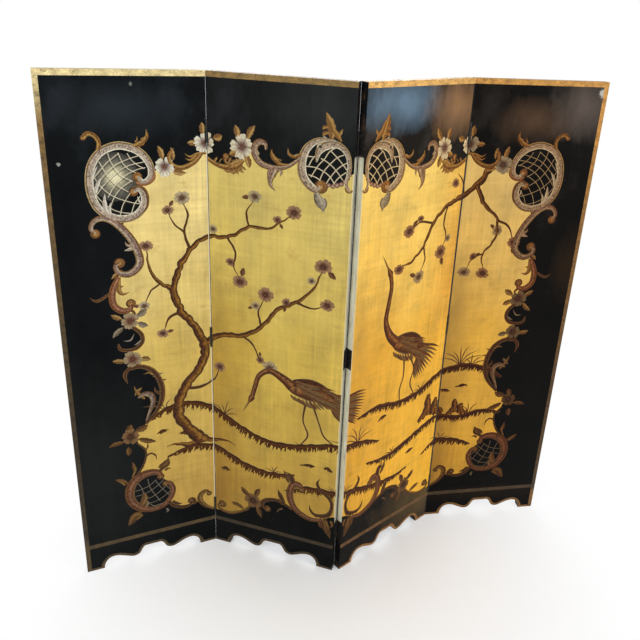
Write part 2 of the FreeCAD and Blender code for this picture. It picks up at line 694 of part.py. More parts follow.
def panel_placements():
    """Where each panel stands, with the middle of the screen's outline at zero."""
    turns = headings()
    corners = panel_corners(turns)
    outline = []
    for corner, turn in zip(corners, turns):
        for u in (0, panel_width):
            for y in (-gilt_thickness, panel_depth):
                outline.append(corner + turned(u, y, turn))
    xs = [point.x for point in outline]
    ys = [point.y for point in outline]
    middle = FreeCAD.Vector((min(xs) + max(xs)) / 2, (min(ys) + max(ys)) / 2, 0)
    return [FreeCAD.Placement(corner - middle, FreeCAD.Rotation(upwards, turn))
            for corner, turn in zip(corners, turns)]


def fold_pieces(fold):
    """The hinges of one fold: each piece's name, the panel it rides on and its solids."""
    side = pin_sides[fold - 1]
    left_screws = fold_screws(True, side)
    right_screws = fold_screws(False, side)
    return [
        ("left_leaves", fold, fold_leaves(True, side, left_screws)),
        ("left_screws", fold, left_screws),
        ("pins", fold, fold_pins(side)),
        ("right_leaves", fold + 1, fold_leaves(False, side, right_screws)),
        ("right_screws", fold + 1, right_screws),
    ]


def all_nodes():
    """Every node of the screen: its name, its panel and its shape where it stands."""
    nodes = []
    for number in range(1, panel_count + 1):
        for name, solids in panel_pieces(number).items():
            nodes.append(("panel_%d_%s" % (number, name), number, solids))
    for fold in range(1, panel_count):
        for name, number, solids in fold_pieces(fold):
            nodes.append(("fold_%d_%s" % (fold, name), number, solids))
    placements = panel_placements()
    placed = []
    for name, number, solids in nodes:
        shape = solids[0] if len(solids) == 1 else Part.makeCompound(solids)
        shape.Placement = placements[number - 1].multiply(shape.Placement)
        placed.append((name, number, shape))
    return placed


screen_nodes = all_nodes()
for node_name, panel_number, node_shape in screen_nodes:
    node_shape.exportStep("parts/%s.step" % node_name)
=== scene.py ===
"""Looks of the four-panel folding screen: lacquer, gold ground, painted relief and picture.

Places on a panel are in millimetres: u from its left edge, z up from the floor, and height is
how far something stands out of the painted face.
"""
import math
import random

import bpy
import numpy as np
from mathutils import Matrix, Vector


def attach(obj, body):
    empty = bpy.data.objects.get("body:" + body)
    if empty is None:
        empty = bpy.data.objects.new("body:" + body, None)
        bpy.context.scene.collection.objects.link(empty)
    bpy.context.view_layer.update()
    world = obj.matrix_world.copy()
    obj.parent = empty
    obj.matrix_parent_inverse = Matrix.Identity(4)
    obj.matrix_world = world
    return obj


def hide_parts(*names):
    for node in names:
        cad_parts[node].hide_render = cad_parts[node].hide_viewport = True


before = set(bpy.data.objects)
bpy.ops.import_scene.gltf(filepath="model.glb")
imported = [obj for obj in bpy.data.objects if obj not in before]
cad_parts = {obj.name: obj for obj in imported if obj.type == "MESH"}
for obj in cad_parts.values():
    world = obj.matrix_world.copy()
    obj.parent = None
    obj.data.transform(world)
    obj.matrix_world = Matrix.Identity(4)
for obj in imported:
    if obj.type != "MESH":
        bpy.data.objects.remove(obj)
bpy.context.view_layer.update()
SEED = 7
random.seed(SEED)
BRUSH = np.random.default_rng(SEED)

WIDTH = 406.4
HEIGHT = 1524.0
MM = 0.001

# Left front corner of each panel in millimetres, and its heading in degrees
PANELS = {
    1: (-772.7060, 28.1788, 8.8842),
    2: (-370.8250, 90.8746, -30.4158),
    3: (3.9084, -115.8130, 25.9842),
    4: (369.5310, 62.2971, -4.8158),
}
HINGE_SPANS = [(112.75, 176.25), (730.25, 793.75), (1339.25, 1402.75)]
# Whether hinge barrels stand in front of each panel's left and right edge
FRONT_BARREL_EDGES = {1: (False, True), 2: (True, False), 3: (False, True), 4: (True, False)}
# Strips left unpainted: at a fold with barrels in front, at any other edge, above and below a barrel
FOLD_STRIP = 1.7
EDGE_STRIP = 0.6
BARREL_ROOM = 2
# Share of the drawn heights that is kept, so the fronts clear each other when folded together
LOW_RELIEF = 0.55
# Height of the rims of painted work, which dip into the face so that no gap shows under them
SUNK = -0.15
# Share of a breadth or a radius past which a rim begins
RIM = 0.99
# Least spread in millimetres of a face that is kept, over the face and in height
LEAST_SPREAD = 0.02
LEAST_RISE = 0.01
# Distance in millimetres from a limit within which a point counts as pressed against it
PRESSED = 0.05
# Least half breadth of a band in millimetres, and its greatest height as a share of its half breadth
LEAST_HALF = 0.15
ROUNDNESS = 0.55
# Cross-sections of bands: places across, from the inner edge (-1) to the outer edge (1)
ROUND = np.array([-1, -0.92, -0.78, -0.6, -0.4, -0.2, 0, 0.2, 0.4, 0.6, 0.78, 0.92, 1])
COARSE = ROUND[::2]
THIN = np.array([-1, -0.55, 0, 0.55, 1])


# Colours and curves


def linear(colour):
    """Screen colours from 0 to 255 as linear light."""
    share = np.clip(np.asarray(colour, float) / 255, 0, 1)
    return np.where(share <= 0.04045, share / 12.92, ((share + 0.055) / 1.055) ** 2.4)


def shade(stops, where):
    """Colours along a list of (place, colour) stops."""
    places, colours = zip(*stops)
    return np.stack([np.interp(where, places, channel) for channel in zip(*colours)], -1)


def steps_between(start, end, spacing):
    """How many steps of about the given spacing lie between two places."""
    return max(2, int(np.linalg.norm(end[:2] - start[:2]) / spacing) + 1)


def smooth(points, spacing):
    """Rows of numbers along a smooth curve through the given rows, about evenly spaced."""
    rows = np.asarray(points, float)
    if len(rows) == 2:
        share = np.linspace(0, 1, steps_between(*rows, spacing))[:, None]
        return rows[0] * (1 - share) + rows[1] * share
    ends = np.vstack([2 * rows[0] - rows[1], rows, 2 * rows[-1] - rows[-2]])
    curve = []
    for a, b, c, d in zip(ends, ends[1:], ends[2:], ends[3:]):
        for t in np.linspace(0, 1, steps_between(b, c, spacing), endpoint=False):
            curve.append(0.5 * (2 * b + (c - a) * t + (2 * a - 5 * b + 4 * c - d) * t * t
                                + (3 * b - a - 3 * c + d) * t ** 3))
    curve.append(rows[-1])
    return np.array(curve)


def sideways(curve):
    """Unit directions to the left of a curve."""
    along = np.gradient(curve[:, :2], axis=0)
    along /= np.maximum(np.linalg.norm(along, axis=1, keepdims=True), 1e-9)
    return np.stack([-along[:, 1], along[:, 0]], -1)


def bends_left(curve):
    """Whether a curve bends to its left."""
    steps = np.diff(curve[:, :2], axis=0)
    return np.sum(steps[:-1, 0] * steps[1:, 1] - steps[:-1, 1] * steps[1:, 0]) >= 0


def around(centre, reach, angle, squash=1.0):
    """Places at a reach and an angle from a centre."""
    return centre[0] + reach * np.cos(angle), centre[1] + reach * squash * np.sin(angle)


def toward(degrees, reach=1.0):
    """How far across and up a reach goes at an angle in degrees."""
    angle = math.radians(degrees)
    return math.cos(angle) * reach, math.sin(angle) * reach


def ramped(value, start, slope=1.0):
    """How far a value lies past a start, times a slope, held between 0 and 1."""
    return np.clip((value - start) * slope, 0, 1)


def scene_object(name, data):
    """A new object in the scene."""
    made = bpy.data.objects.new(name, data)
    bpy.context.scene.collection.objects.link(made)
    return made


# Relief


class Relief:
    """Raised and painted work on one panel, with a colour at every point."""

    def __init__(self, panel, mirrored=False, margin=5.0, muting=((0, 1), (1, 1))):
        self.panel = panel
        self.mirrored = mirrored
        self.margin = margin
        self.muting = muting
        self.points, self.colours, self.faces = [], [], []
        self.count = 0

    def limits(self, z):
        """The lowest and highest u at each z, clear of the folds and of the hinge barrels."""
        beside = np.zeros(z.shape, bool)
        for start, end in HINGE_SPANS:
            beside |= (z > start - BARREL_ROOM) & (z < end + BARREL_ROOM)
        left, right = (np.where(beside & barrels, self.margin, FOLD_STRIP if barrels else EDGE_STRIP)
                       for barrels in FRONT_BARREL_EDGES[self.panel])
        return left, WIDTH - right

    def grid(self, u, z, height, colour):
        """A sheet of quads from arrays of places, heights and colours."""
        if self.mirrored:
            u = WIDTH - u
        low, high = self.limits(z)
        u = np.clip(u, low, high)
        height = np.where(height > 0, height * LOW_RELIEF, height)
        colour = np.broadcast_to(colour, u.shape + (3,)) * np.interp(z, *zip(*self.muting))[..., None]
        points = np.stack([u.ravel(), -height.ravel(), z.ravel()], -1)
        free = ((u > low + PRESSED) & (u < high - PRESSED)).ravel()
        self.points.append(points)
        self.colours.append(linear(colour.reshape(-1, 3)))
        self.faces.append(self.quads(points, u.shape, free) + self.count)
        self.count += u.size

    def quads(self, points, shape, free):
        """A grid's quads, facing forwards, without those pressed flat against a fold."""
        number = np.arange(len(points)).reshape(shape)
        corners = (number[:-1, :-1], number[1:, :-1], number[1:, 1:], number[:-1, 1:])
        quads = np.stack(corners, -1).reshape(-1, 4)
        rising = points[quads[:, 2]] - points[quads[:, 0]]
        falling = points[quads[:, 3]] - points[quads[:, 1]]
        if np.sum(rising[:, 0] * falling[:, 2] - rising[:, 2] * falling[:, 0]) < 0:
            quads = quads[:, ::-1]
        across, rise, up = np.ptp(points[quads], axis=1).T
        upright = (up > LEAST_SPREAD) & (rise > LEAST_RISE) & free[quads].all(1)
        return quads[(across > LEAST_SPREAD) | upright]

    def build(self, name, material):
        """The finished piece, riding on its panel."""
        used, places = np.unique(np.vstack(self.faces), return_inverse=True)
        points = np.vstack(self.points)[used]
        colours = np.vstack(self.colours)[used]
        x, y, heading = PANELS[self.panel]
        cos, sin = toward(heading)
        world = np.stack([x + points[:, 0] * cos - points[:, 1] * sin,
                          y + points[:, 0] * sin + points[:, 1] * cos, points[:, 2]], -1) * MM
        mesh = bpy.data.meshes.new(name)
        mesh.from_pydata(world.tolist(), [], places.reshape(-1, 4).tolist())
        paint = mesh.color_attributes.new("Paint", "FLOAT_COLOR", "POINT")
        opaque = np.hstack([colours, np.ones((len(colours), 1))])
        paint.data.foreach_set("color", opaque.astype(np.float32).ravel())
        mesh.shade_smooth()
        mesh.materials.append(material)
        piece = scene_object(name, mesh)
        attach(piece, "panel_%d" % self.panel)
        return piece


# Strokes, bosses, leaves and flowers


def fluted(colour, curve, t, period):
    """A band's colours under wavering dark flutes and seeded blots."""
    length = np.cumsum(np.r_[0, np.linalg.norm(np.diff(curve[:, :2], axis=0), axis=1)])[:, None]
    length = length + period * 0.6 * np.sin(length / period * 1.7)
    wave = np.sin(length / period * 2 * math.pi + t * 2.6)
    colour = colour * (1 - 0.34 * ramped(wave, 0.3) * np.clip(1 - np.abs(t - 0.1) * 0.8, 0, 1))[..., None]
    blots = BRUSH.random(t.shape)
    return colour * (1 - 0.5 * (blots > 0.86) * (np.abs(t) < 0.7) + 0.12 * (blots < 0.2))[..., None]


def band(relief, rows, height, palette, stations=ROUND, spacing=5.0, inner=False, flutes=0.0, scale=1.0):
    """A rounded band along rows of (u, z, half breadth), painted across, from its inner side if asked."""
    curve = smooth(rows, spacing)
    side = sideways(curve)
    if inner and bends_left(curve):
        side = -side
    breadth = np.maximum(curve[:, 2:], LEAST_HALF) * scale
    u = curve[:, :1] + side[:, :1] * breadth * stations
    z = curve[:, 1:2] + side[:, 1:] * breadth * stations
    t = np.broadcast_to(stations, u.shape)
    colour = shade(palette, t)
    if flutes:
        colour = fluted(colour, curve, t, flutes)
    rise = np.where(np.abs(t) > RIM, SUNK, np.clip(1 - t ** 4, 0, 1) ** 0.5)
    relief.grid(u, z, rise * np.minimum(height, breadth * ROUNDNESS), colour)


def stroke(relief, rows, height, palette, spacing=6.0, scale=1.0):
    """A thin plain band."""
    band(relief, rows, height, palette, THIN, spacing, scale=scale)


def disc(relief, centre, radius, height, palette, turns=0.0, start=0.0, squash=1.0):
    """A round boss; with turns, a snail line winds into it."""
    share = np.array([0.02, 0.2, 0.4, 0.58, 0.74, 0.88, 0.96, 1.0])[:, None]
    angle = np.linspace(0, 2 * math.pi, 25)[None, :]
    u, z = around(centre, radius * share, angle, squash)
    rise = np.where(share > RIM, SUNK, height * (1 - 0.55 * share ** 2)) + 0 * angle
    colour = shade(palette, share + 0 * angle)
    if turns:
        phase = (angle * turns / abs(turns) + start) / (2 * math.pi) + share * abs(turns)
        clear = np.clip(np.abs((phase % 1) - 0.5) * 4.4, 0, 1)
        colour = colour * (0.45 + 0.62 * clear)[..., None]
        rise = rise - 0.35 * height * (1 - clear) * (share < 0.97)
    relief.grid(u, z, rise, colour)


LEAF_EDGE = (52, 36, 26)


def leaf_paint(share, stations, lobes, light, dark):
    """A leaf's colours: a darker half, side veins, a dark edge and a dark midrib."""
    tone = np.where(stations < 0, 0.15, 0.75) + 0 * share
    vein = np.abs(((share * lobes * 2 - np.abs(stations) * 0.6) % 1) - 0.5) * 2
    tone = np.clip(tone + 0.35 * (1 - np.clip(vein * 2, 0, 1)), 0, 1)[..., None]
    colour = np.asarray(light, float) * (1 - tone) + np.asarray(dark, float) * tone
    outline = ramped(np.abs(stations), 0.8, 6) + np.clip(1 - np.abs(stations) * 12, 0, 1) * 0.7 + 0 * share
    return colour * (1 - outline[..., None]) + np.asarray(LEAF_EDGE, float) * outline[..., None]


def leaf(relief, base, tip, breadth, height, light, dark, lobes=3, bend=0.0):
    """A pointed leaf with a midrib, side veins and a lightly lobed edge."""
    base, tip = np.array(base, float), np.array(tip, float)
    along = tip - base
    length = np.linalg.norm(along)
    left = np.array([-along[1], along[0]]) / length
    share = np.linspace(0, 1, 21)[:, None]
    stations = np.array([-1, -0.86, -0.6, -0.32, -0.07, 0.07, 0.32, 0.6, 0.86, 1])[None, :]
    middle = base + along * share + left * (bend * length * np.sin(math.pi * share))
    lobe = 0.84 + 0.26 * ((share * lobes) % 1) * (share < 0.86)
    half = np.maximum(breadth / 2 * np.sin(math.pi * share ** 0.8) ** 0.8 * lobe, 0.12)
    reach = stations * half
    drift = np.abs(stations) * half * 0.28
    u = middle[:, :1] + left[0] * reach + along[0] / length * drift
    z = middle[:, 1:] + left[1] * reach + along[1] / length * drift
    rise = 0.55 + 0.45 * np.sqrt(np.clip(1 - stations ** 2, 0, 1)) - 0.3 * (np.abs(stations) < 0.1)
    rise = np.where(np.abs(stations) > RIM, SUNK, height * rise) * np.clip(half / 2, 0.3, 1)
    relief.grid(u, z, rise, leaf_paint(share, stations, lobes, light, dark))


# Paint of a flower's heart and of its stamens
HEART = [(0, (150, 108, 58)), (0.6, (98, 62, 44)), (1, (60, 38, 34))]
STAMEN = [(0, (74, 46, 36)), (1, (60, 36, 30))]
STAMENS = 7
PETALS = 5


def petal_sheet(relief, centre, size, axis, number, height, paints, view):
    """One rounded, ruffled petal."""
    rim, middle, heart = paints
    share = np.array([0.1, 0.3, 0.5, 0.68, 0.84, 0.95, 1.0])[:, None]
    across = np.linspace(-1, 1, 13)[None, :]
    reach = size * (0.50 + 0.50 * np.clip(1 - across ** 2, 0, 1) ** 0.42)
    reach = reach * (1 - 0.12 * np.exp(-(across / 0.2) ** 2)) * (1 + 0.05 * np.sin(across * 12 + number * 2))
    u, z = around(centre, reach * share, axis + across * math.pi / PETALS * 1.12, view)
    colour = shade([(0, heart), (0.22, heart), (0.42, middle), (0.66, rim), (1, rim)], share + 0 * across)
    streak = ramped(np.cos(across * 9.5 + number), 0.35) * np.clip(1.05 - share, 0, 1)
    side = ramped(np.abs(across), 0.7, 3.4)
    rise = height * (0.35 + 0.65 * np.sin(math.pi * share ** 1.2) * (1 - 0.5 * across ** 2))
    rise = np.where(share > RIM, SUNK, rise + 0.03 * number)
    relief.grid(u, z, rise, colour * (1 - 0.55 * streak - 0.6 * side)[..., None])


def blossom(relief, centre, radius, height, paints, turn=0.0, view=1.0):
    """A flower of petals around a dark heart with stamens; paints are its rim's, middle's and heart's."""
    for number in range(PETALS):
        axis = turn + 2 * math.pi * number / PETALS + random.uniform(-0.1, 0.1)
        size = radius * random.uniform(0.86, 1.1)
        petal_sheet(relief, centre, size, axis, number, height, paints, view)
    disc(relief, centre, radius * 0.17, height * 1.05, HEART, squash=view)
    for number in range(STAMENS):
        spot = around(centre, radius * 0.36, turn + 0.4 + number * 2 * math.pi / STAMENS, view)
        disc(relief, spot, radius * 0.055, height * 1.02, STAMEN)


# Paint across a scroll from its inner edge (-1) to its outer edge (1)
STONE = [(-1, (64, 52, 44)), (-0.93, (224, 216, 198)), (-0.7, (238, 232, 218)), (-0.58, (168, 156, 140)),
         (-0.36, (198, 182, 166)), (0, (172, 150, 136)), (0.28, (204, 188, 170)), (0.5, (168, 148, 126)),
         (0.62, (76, 56, 40)), (0.76, (164, 136, 92)), (0.92, (200, 176, 130)), (1, (46, 32, 24))]
ROSE = [(-1, (50, 36, 28)), (-0.86, (122, 94, 60)), (-0.62, (172, 142, 102)), (-0.42, (204, 192, 176)),
        (-0.1, (162, 134, 122)), (0.25, (138, 104, 92)), (0.48, (186, 168, 148)), (0.62, (94, 64, 44)),
        (0.8, (138, 98, 56)), (0.94, (110, 72, 40)), (1, (40, 26, 20))]
UMBER = [(-1, (40, 28, 20)), (-0.7, (142, 110, 74)), (-0.35, (104, 70, 42)), (0.1, (80, 50, 32)),
         (0.5, (118, 80, 44)), (0.82, (150, 108, 58)), (1, (42, 26, 18))]
RUSSET = [(-1, (52, 34, 24)), (-0.84, (170, 134, 90)), (-0.6, (116, 70, 44)), (-0.3, (168, 112, 82)),
          (0, (186, 138, 108)), (0.25, (144, 88, 62)), (0.55, (118, 68, 42)), (0.8, (154, 106, 58)),
          (1, (44, 28, 20))]
OCHRE = [(-1, (56, 38, 24)), (-0.7, (164, 126, 68)), (-0.3, (190, 152, 88)), (0.1, (146, 104, 54)),
         (0.5, (114, 76, 40)), (0.85, (148, 110, 58)), (1, (50, 32, 20))]
SILVER = [(-1, (84, 74, 66)), (-0.7, (196, 188, 170)), (0, (162, 154, 142)), (0.6, (136, 126, 116)),
          (1, (84, 72, 62))]
# Paint from the middle (0) of a boss, a bead and the centre cartouche's eye to their rims (1)
BOSS = [(0, (198, 156, 92)), (0.4, (160, 116, 64)), (0.8, (126, 86, 50)), (1, (50, 32, 22))]
BEAD = [(0, (206, 182, 168)), (0.6, (160, 126, 112)), (1, (70, 48, 42))]
EYELET = [(0, (24, 20, 18)), (0.35, (30, 24, 20)), (0.5, (226, 220, 202)), (0.85, (190, 178, 156)),
          (1, (60, 46, 36))]

# Scrolls: paint, radius of the boss at each end, and places as (u, z, half breadth)
OUTER_SCROLLS = [
    (STONE, 12.2, 11.4, [(224.1, 1255.8, 6.4), (237.9, 1240.5, 7.3), (256.2, 1252.7, 8.2),
     (259, 1278.6, 9.1), (246, 1306.1, 10), (222.1, 1327.4, 10.9), (188, 1338.1, 10.9),
     (157.9, 1333.5, 10.9), (131.1, 1316.7, 10.9), (112.9, 1287.8, 10.9), (106, 1252.7, 10.9),
     (108, 1214.6, 10.9), (121.8, 1178.1, 10.9), (149.8, 1153.7, 10.9), (181.9, 1144.5, 10.9),
     (214, 1152.1, 10.9), (235.9, 1176.5, 10.9), (237.9, 1205.5, 9.1), (226.1, 1223.8, 7.3),
     (211.9, 1216.2, 5.5)]),
    (OCHRE, 0, 6.5, [(134, 1328, 6.4), (136, 1348, 6), (127, 1364, 6), (111, 1370, 6.4), (100, 1360, 6.4)]),
    (OCHRE, 0, 0, [(221.3, 1335, 7.3), (243.6, 1347.2, 6.4), (253.3, 1360.9, 4.6), (252.1, 1379.2, 0)]),
    (ROSE, 12.2, 13.8, [(110, 1109.5, 5.5), (99.9, 1124.7, 6.4), (108.8, 1143, 7.3), (129.9, 1150.6, 9.1),
     (153.1, 1141.5, 10), (176.2, 1118.6, 10.4), (198.1, 1086.6, 10.9), (211.9, 1053.1, 11.4),
     (216.8, 1019.6, 11.4), (203.8, 998.2, 10.9), (181.9, 987.6, 10), (160.8, 995.2, 8.2),
     (152.7, 1013.5, 6.4), (164, 1022.6, 4.6)]),
    (RUSSET, 0, 12.2, [(160, 983, 6.4), (144.9, 955.5, 9.1), (138, 925.1, 10), (142.9, 897.6, 10),
     (162.8, 880.9, 10), (183.1, 883.9, 7.3), (185.9, 900.7, 5.5)]),
    (UMBER, 0, 0, [(80, 931.2, 0), (99.9, 919, 4.6), (134, 937.3, 3.6)]),
    (UMBER, 0, 0, [(186.8, 827.5, 5.5), (207.1, 804.7, 6.4), (209.9, 780.3, 6.4), (194.9, 762, 6.4),
     (172.1, 757.4, 5.5), (149.8, 763.5, 5.5), (144.9, 781.8, 2.7)]),
    (UMBER, 0, 0, [(170.1, 696.5, 5.5), (200.2, 699.5, 7.3), (230.2, 682.8, 8.2), (248.1, 652.3, 9.1),
     (257, 615.7, 9.1), (252.9, 574.5, 8.2), (235.9, 539.5, 6.4), (205, 504.4, 4.6)]),
    (UMBER, 0, 0, [(172.5, 704.1, 4.6), (155.9, 679.7, 6.4), (161.6, 649.2, 0.9)]),
    (ROSE, 0, 0, [(187.2, 597.4, 2.7), (205, 606.6, 8.2), (224.1, 598.9, 10), (229, 574.5, 8.2),
     (218, 544.1, 5.5), (206.2, 515.1, 2.7)]),
    (UMBER, 0, 0, [(174.6, 442, 2.7), (196.9, 414.5, 3.1), (198.1, 385.6, 3.1), (185.9, 352, 3.6),
     (168.1, 326.1, 3.6)]),
    (RUSSET, 10.6, 10.6, [(237.9, 303.3, 6.4), (231.8, 320, 10), (205, 326.1, 12.8), (176.6, 318.5, 14.6),
     (152.7, 297.2, 15.5), (142.9, 262.1, 15.5), (150.2, 227.1, 14.6), (174.2, 198.1, 12.8),
     (207.1, 185.9, 10), (240.4, 190.5, 9.1), (265.1, 214.9, 9.1), (273.6, 246.9, 9.1), (263.9, 272.8, 7.3),
     (251.7, 272.8, 4.6)]),
    (UMBER, 0, 10.6, [(255.8, 204.2, 5.5), (276.1, 178.3, 6.4), (304.5, 166.1, 6.4), (326.8, 169.2, 5.5),
     (329.7, 184.4, 4.6)]),
    (OCHRE, 8.1, 0, [(388.1, 195.1, 4.6), (378, 207.3, 7.3), (361.3, 199.6, 9.1), (357.3, 179.8, 9.1),
     (367.8, 158.5, 7.3), (388.1, 138.7, 5.5), (414.1, 125, 4.6)]),
    (OCHRE, 0, 0, [(395.8, 1313.7, 3.6), (371.9, 1287.8, 6.4), (338.2, 1274.1, 7.3), (311.8, 1284.7, 6.4),
     (306.1, 1306.1, 4.6), (317.9, 1324.4, 0)]),
]
INNER_SCROLLS = [
    (OCHRE, 0, 0, [(-8.1, 1303, 5.5), (24, 1284.7, 6.4), (54, 1278.6, 8.2), (84, 1283.2, 10),
     (107.6, 1301.5, 1.8)]),
    (OCHRE, 0, 8.9, [(71, 1284.7, 4.6), (52.8, 1293.9, 4.1), (54.8, 1307.6, 3.6)]),
    (ROSE, 0, 0, [(168.9, 1336.5, 3.6), (166.1, 1351.8, 6.4), (149, 1354.8, 9.1), (136.8, 1339.6, 10),
     (138.9, 1318.3, 10), (153.9, 1300, 9.1), (179, 1292.4, 8.2), (209.1, 1292.4, 6.4),
     (233.9, 1301.5, 5.5), (261.9, 1322.8, 4.6)]),
    (OCHRE, 0, 0, [(181.9, 1339.6, 0), (189.2, 1318.3, 6.4), (211.1, 1300, 5.5)]),
    (OCHRE, 0, 0, [(229, 1345.7, 0.9), (231.8, 1332, 3.6), (246, 1325.9, 4.6), (268, 1336.5, 3.6)]),
    (ROSE, 0, 0, [(194.9, 1295.4, 15.5), (181.9, 1261.9, 9.1), (183.9, 1242.1, 4.6), (196.9, 1229.9, 0)]),
    (STONE, 0, 17.1, [(353.2, 1378, 2.7), (310.2, 1374, 7.2), (281, 1352, 10.5), (268, 1318.3, 12.3),
     (270, 1281.7, 13), (287, 1258, 12.1), (308, 1246, 10.5), (321, 1256, 6.3)]),
    (STONE, 0, 0, [(306.5, 1318.3, 1.8), (312.2, 1345.7, 9.1), (330.1, 1362.5, 11.9), (360.1, 1367, 9.1),
     (384.5, 1350.3, 7.3), (393.8, 1321.3, 6.4), (392.2, 1292.4, 5.5), (387.7, 1268, 4.6),
     (399.9, 1249.7, 1.8)]),
    (SILVER, 0, 0, [(308.2, 1237.5, 7.3), (318.7, 1214.6, 12.8), (334.1, 1188.7, 0)]),
    (OCHRE, 12.2, 0, [(26, 155.4, 4.6), (13, 146.3, 5.5), (21.9, 131.1, 5.5), (52, 126.5, 5.5),
     (82, 138.7, 5.5), (106, 155.4, 4.6), (125.9, 176.8, 3.6)]),
    (UMBER, 11.4, 0, [(183.9, 181.4, 5.5), (166.1, 189, 7.3), (170.1, 207.3, 8.2), (190, 219.5, 7.3),
     (214, 224, 6.4), (239.9, 216.4, 5.5), (268, 202.7, 4.6)]),
    (UMBER, 0, 0, [(218, 268.2, 0), (227.4, 243.8, 8.2), (239.5, 221, 5.5)]),
    (RUSSET, 11.4, 0, [(296, 288, 6.4), (289.1, 304.8, 8.2), (268.8, 301.8, 10), (258.2, 271.3, 11.9),
     (261.1, 237.7, 11.9), (276.9, 208.8, 10.9), (303.7, 190.5, 10), (334.1, 182.9, 8.2),
     (367.4, 192, 5.5)]),
    (UMBER, 0, 0, [(268, 304.8, 10.9), (259.8, 329.2, 6.4), (243.6, 342.9, 0)]),
    (UMBER, 0, 0, [(354, 345.9, 0), (345.9, 324.6, 4.6), (358.1, 301.8, 6.4), (380, 286.5, 6.4),
     (393.8, 265.2, 5.9), (394.6, 239.3, 5.9), (384.9, 216.4, 8.2), (364.2, 205.7, 7.3),
     (339.8, 205.7, 5.5), (326.8, 219.5, 3.6), (323.2, 239.3, 0)]),
]
# Small hooks and fronds off the scrolls: paint and places as (u, z, half breadth)
OUTER_FRONDS = [
    (OCHRE, [(232, 1338, 3.5), (243, 1340, 2.5), (250, 1352, 0)]),
    (OCHRE, [(224, 1346, 2.5), (229, 1352, 2), (229, 1361, 0)]),
    (OCHRE, [(238, 1352, 3), (247, 1356, 2.5), (255, 1368, 0)]),
    (OCHRE, [(322, 1278, 4), (309, 1292, 5), (308, 1312, 4.5), (321, 1328, 0)]),
    (UMBER, [(322, 1278, 3.5), (336, 1274, 4), (349, 1281, 3), (352, 1286, 0)]),
    (OCHRE, [(405, 1312, 4), (380, 1310, 3.5), (362, 1303, 3), (346, 1312, 0)]),
    (OCHRE, [(380, 1306, 4), (362, 1294, 3), (347, 1300, 0)]),
    (ROSE, [(208, 1076, 6), (196, 1068, 5), (186, 1072, 3), (182, 1082, 0)]),
    (STONE, [(204, 1062, 5), (190, 1058, 4), (178, 1056, 0)]),
    (UMBER, [(176, 990, 5), (160, 1000, 4), (146, 990, 0)]),
    (OCHRE, [(159, 980, 5), (157, 958, 6), (158, 940, 6), (168, 931, 4), (185, 935, 0)]),
    (OCHRE, [(156, 962, 4), (164, 954, 3), (172, 956, 0)]),
    (SILVER, [(190, 808, 0), (178, 788, 2.5), (158, 788, 0)]),
    (SILVER, [(208, 788, 0), (198, 776, 2.5), (186, 770, 0)]),
    (UMBER, [(186, 880, 4), (194, 870, 3), (190, 858, 0)]),
    (UMBER, [(204, 700, 5), (190, 706, 4), (176, 702, 0)]),
    (OCHRE, [(236, 668, 5), (222, 676, 3.5), (206, 672, 0)]),
    (UMBER, [(250, 600, 5), (238, 612, 3.5), (236, 626, 0)]),
    (OCHRE, [(178, 640, 0), (184, 620, 4), (196, 602, 5), (206, 590, 3)]),
    (UMBER, [(198, 410, 2), (206, 424, 2.5), (203, 440, 0)]),
    (UMBER, [(198, 388, 3), (212, 396, 3), (226, 386, 2.5), (230, 366, 0)]),
    (OCHRE, [(160, 366, 0), (166, 352, 3.5), (161, 336, 3.5), (154, 322, 2)]),
    (OCHRE, [(108, 322, 0), (122, 314, 4), (132, 300, 4)]),
    (UMBER, [(236, 326, 5), (250, 334, 5), (264, 344, 4), (266, 368, 0)]),
    (UMBER, [(252, 322, 4), (262, 328, 3), (272, 322, 0)]),
    (OCHRE, [(170, 178, 6), (156, 182, 6), (142, 170, 5), (138, 146, 0)]),
    (OCHRE, [(176, 174, 5), (164, 164, 4), (150, 160, 0)]),
    (UMBER, [(270, 198, 5), (286, 184, 5), (302, 182, 0)]),
    (UMBER, [(318, 186, 0), (332, 190, 6), (340, 176, 7), (338, 166, 3)]),
    (SILVER, [(250, 176, 3), (256, 166, 3), (248, 160, 0)]),
]
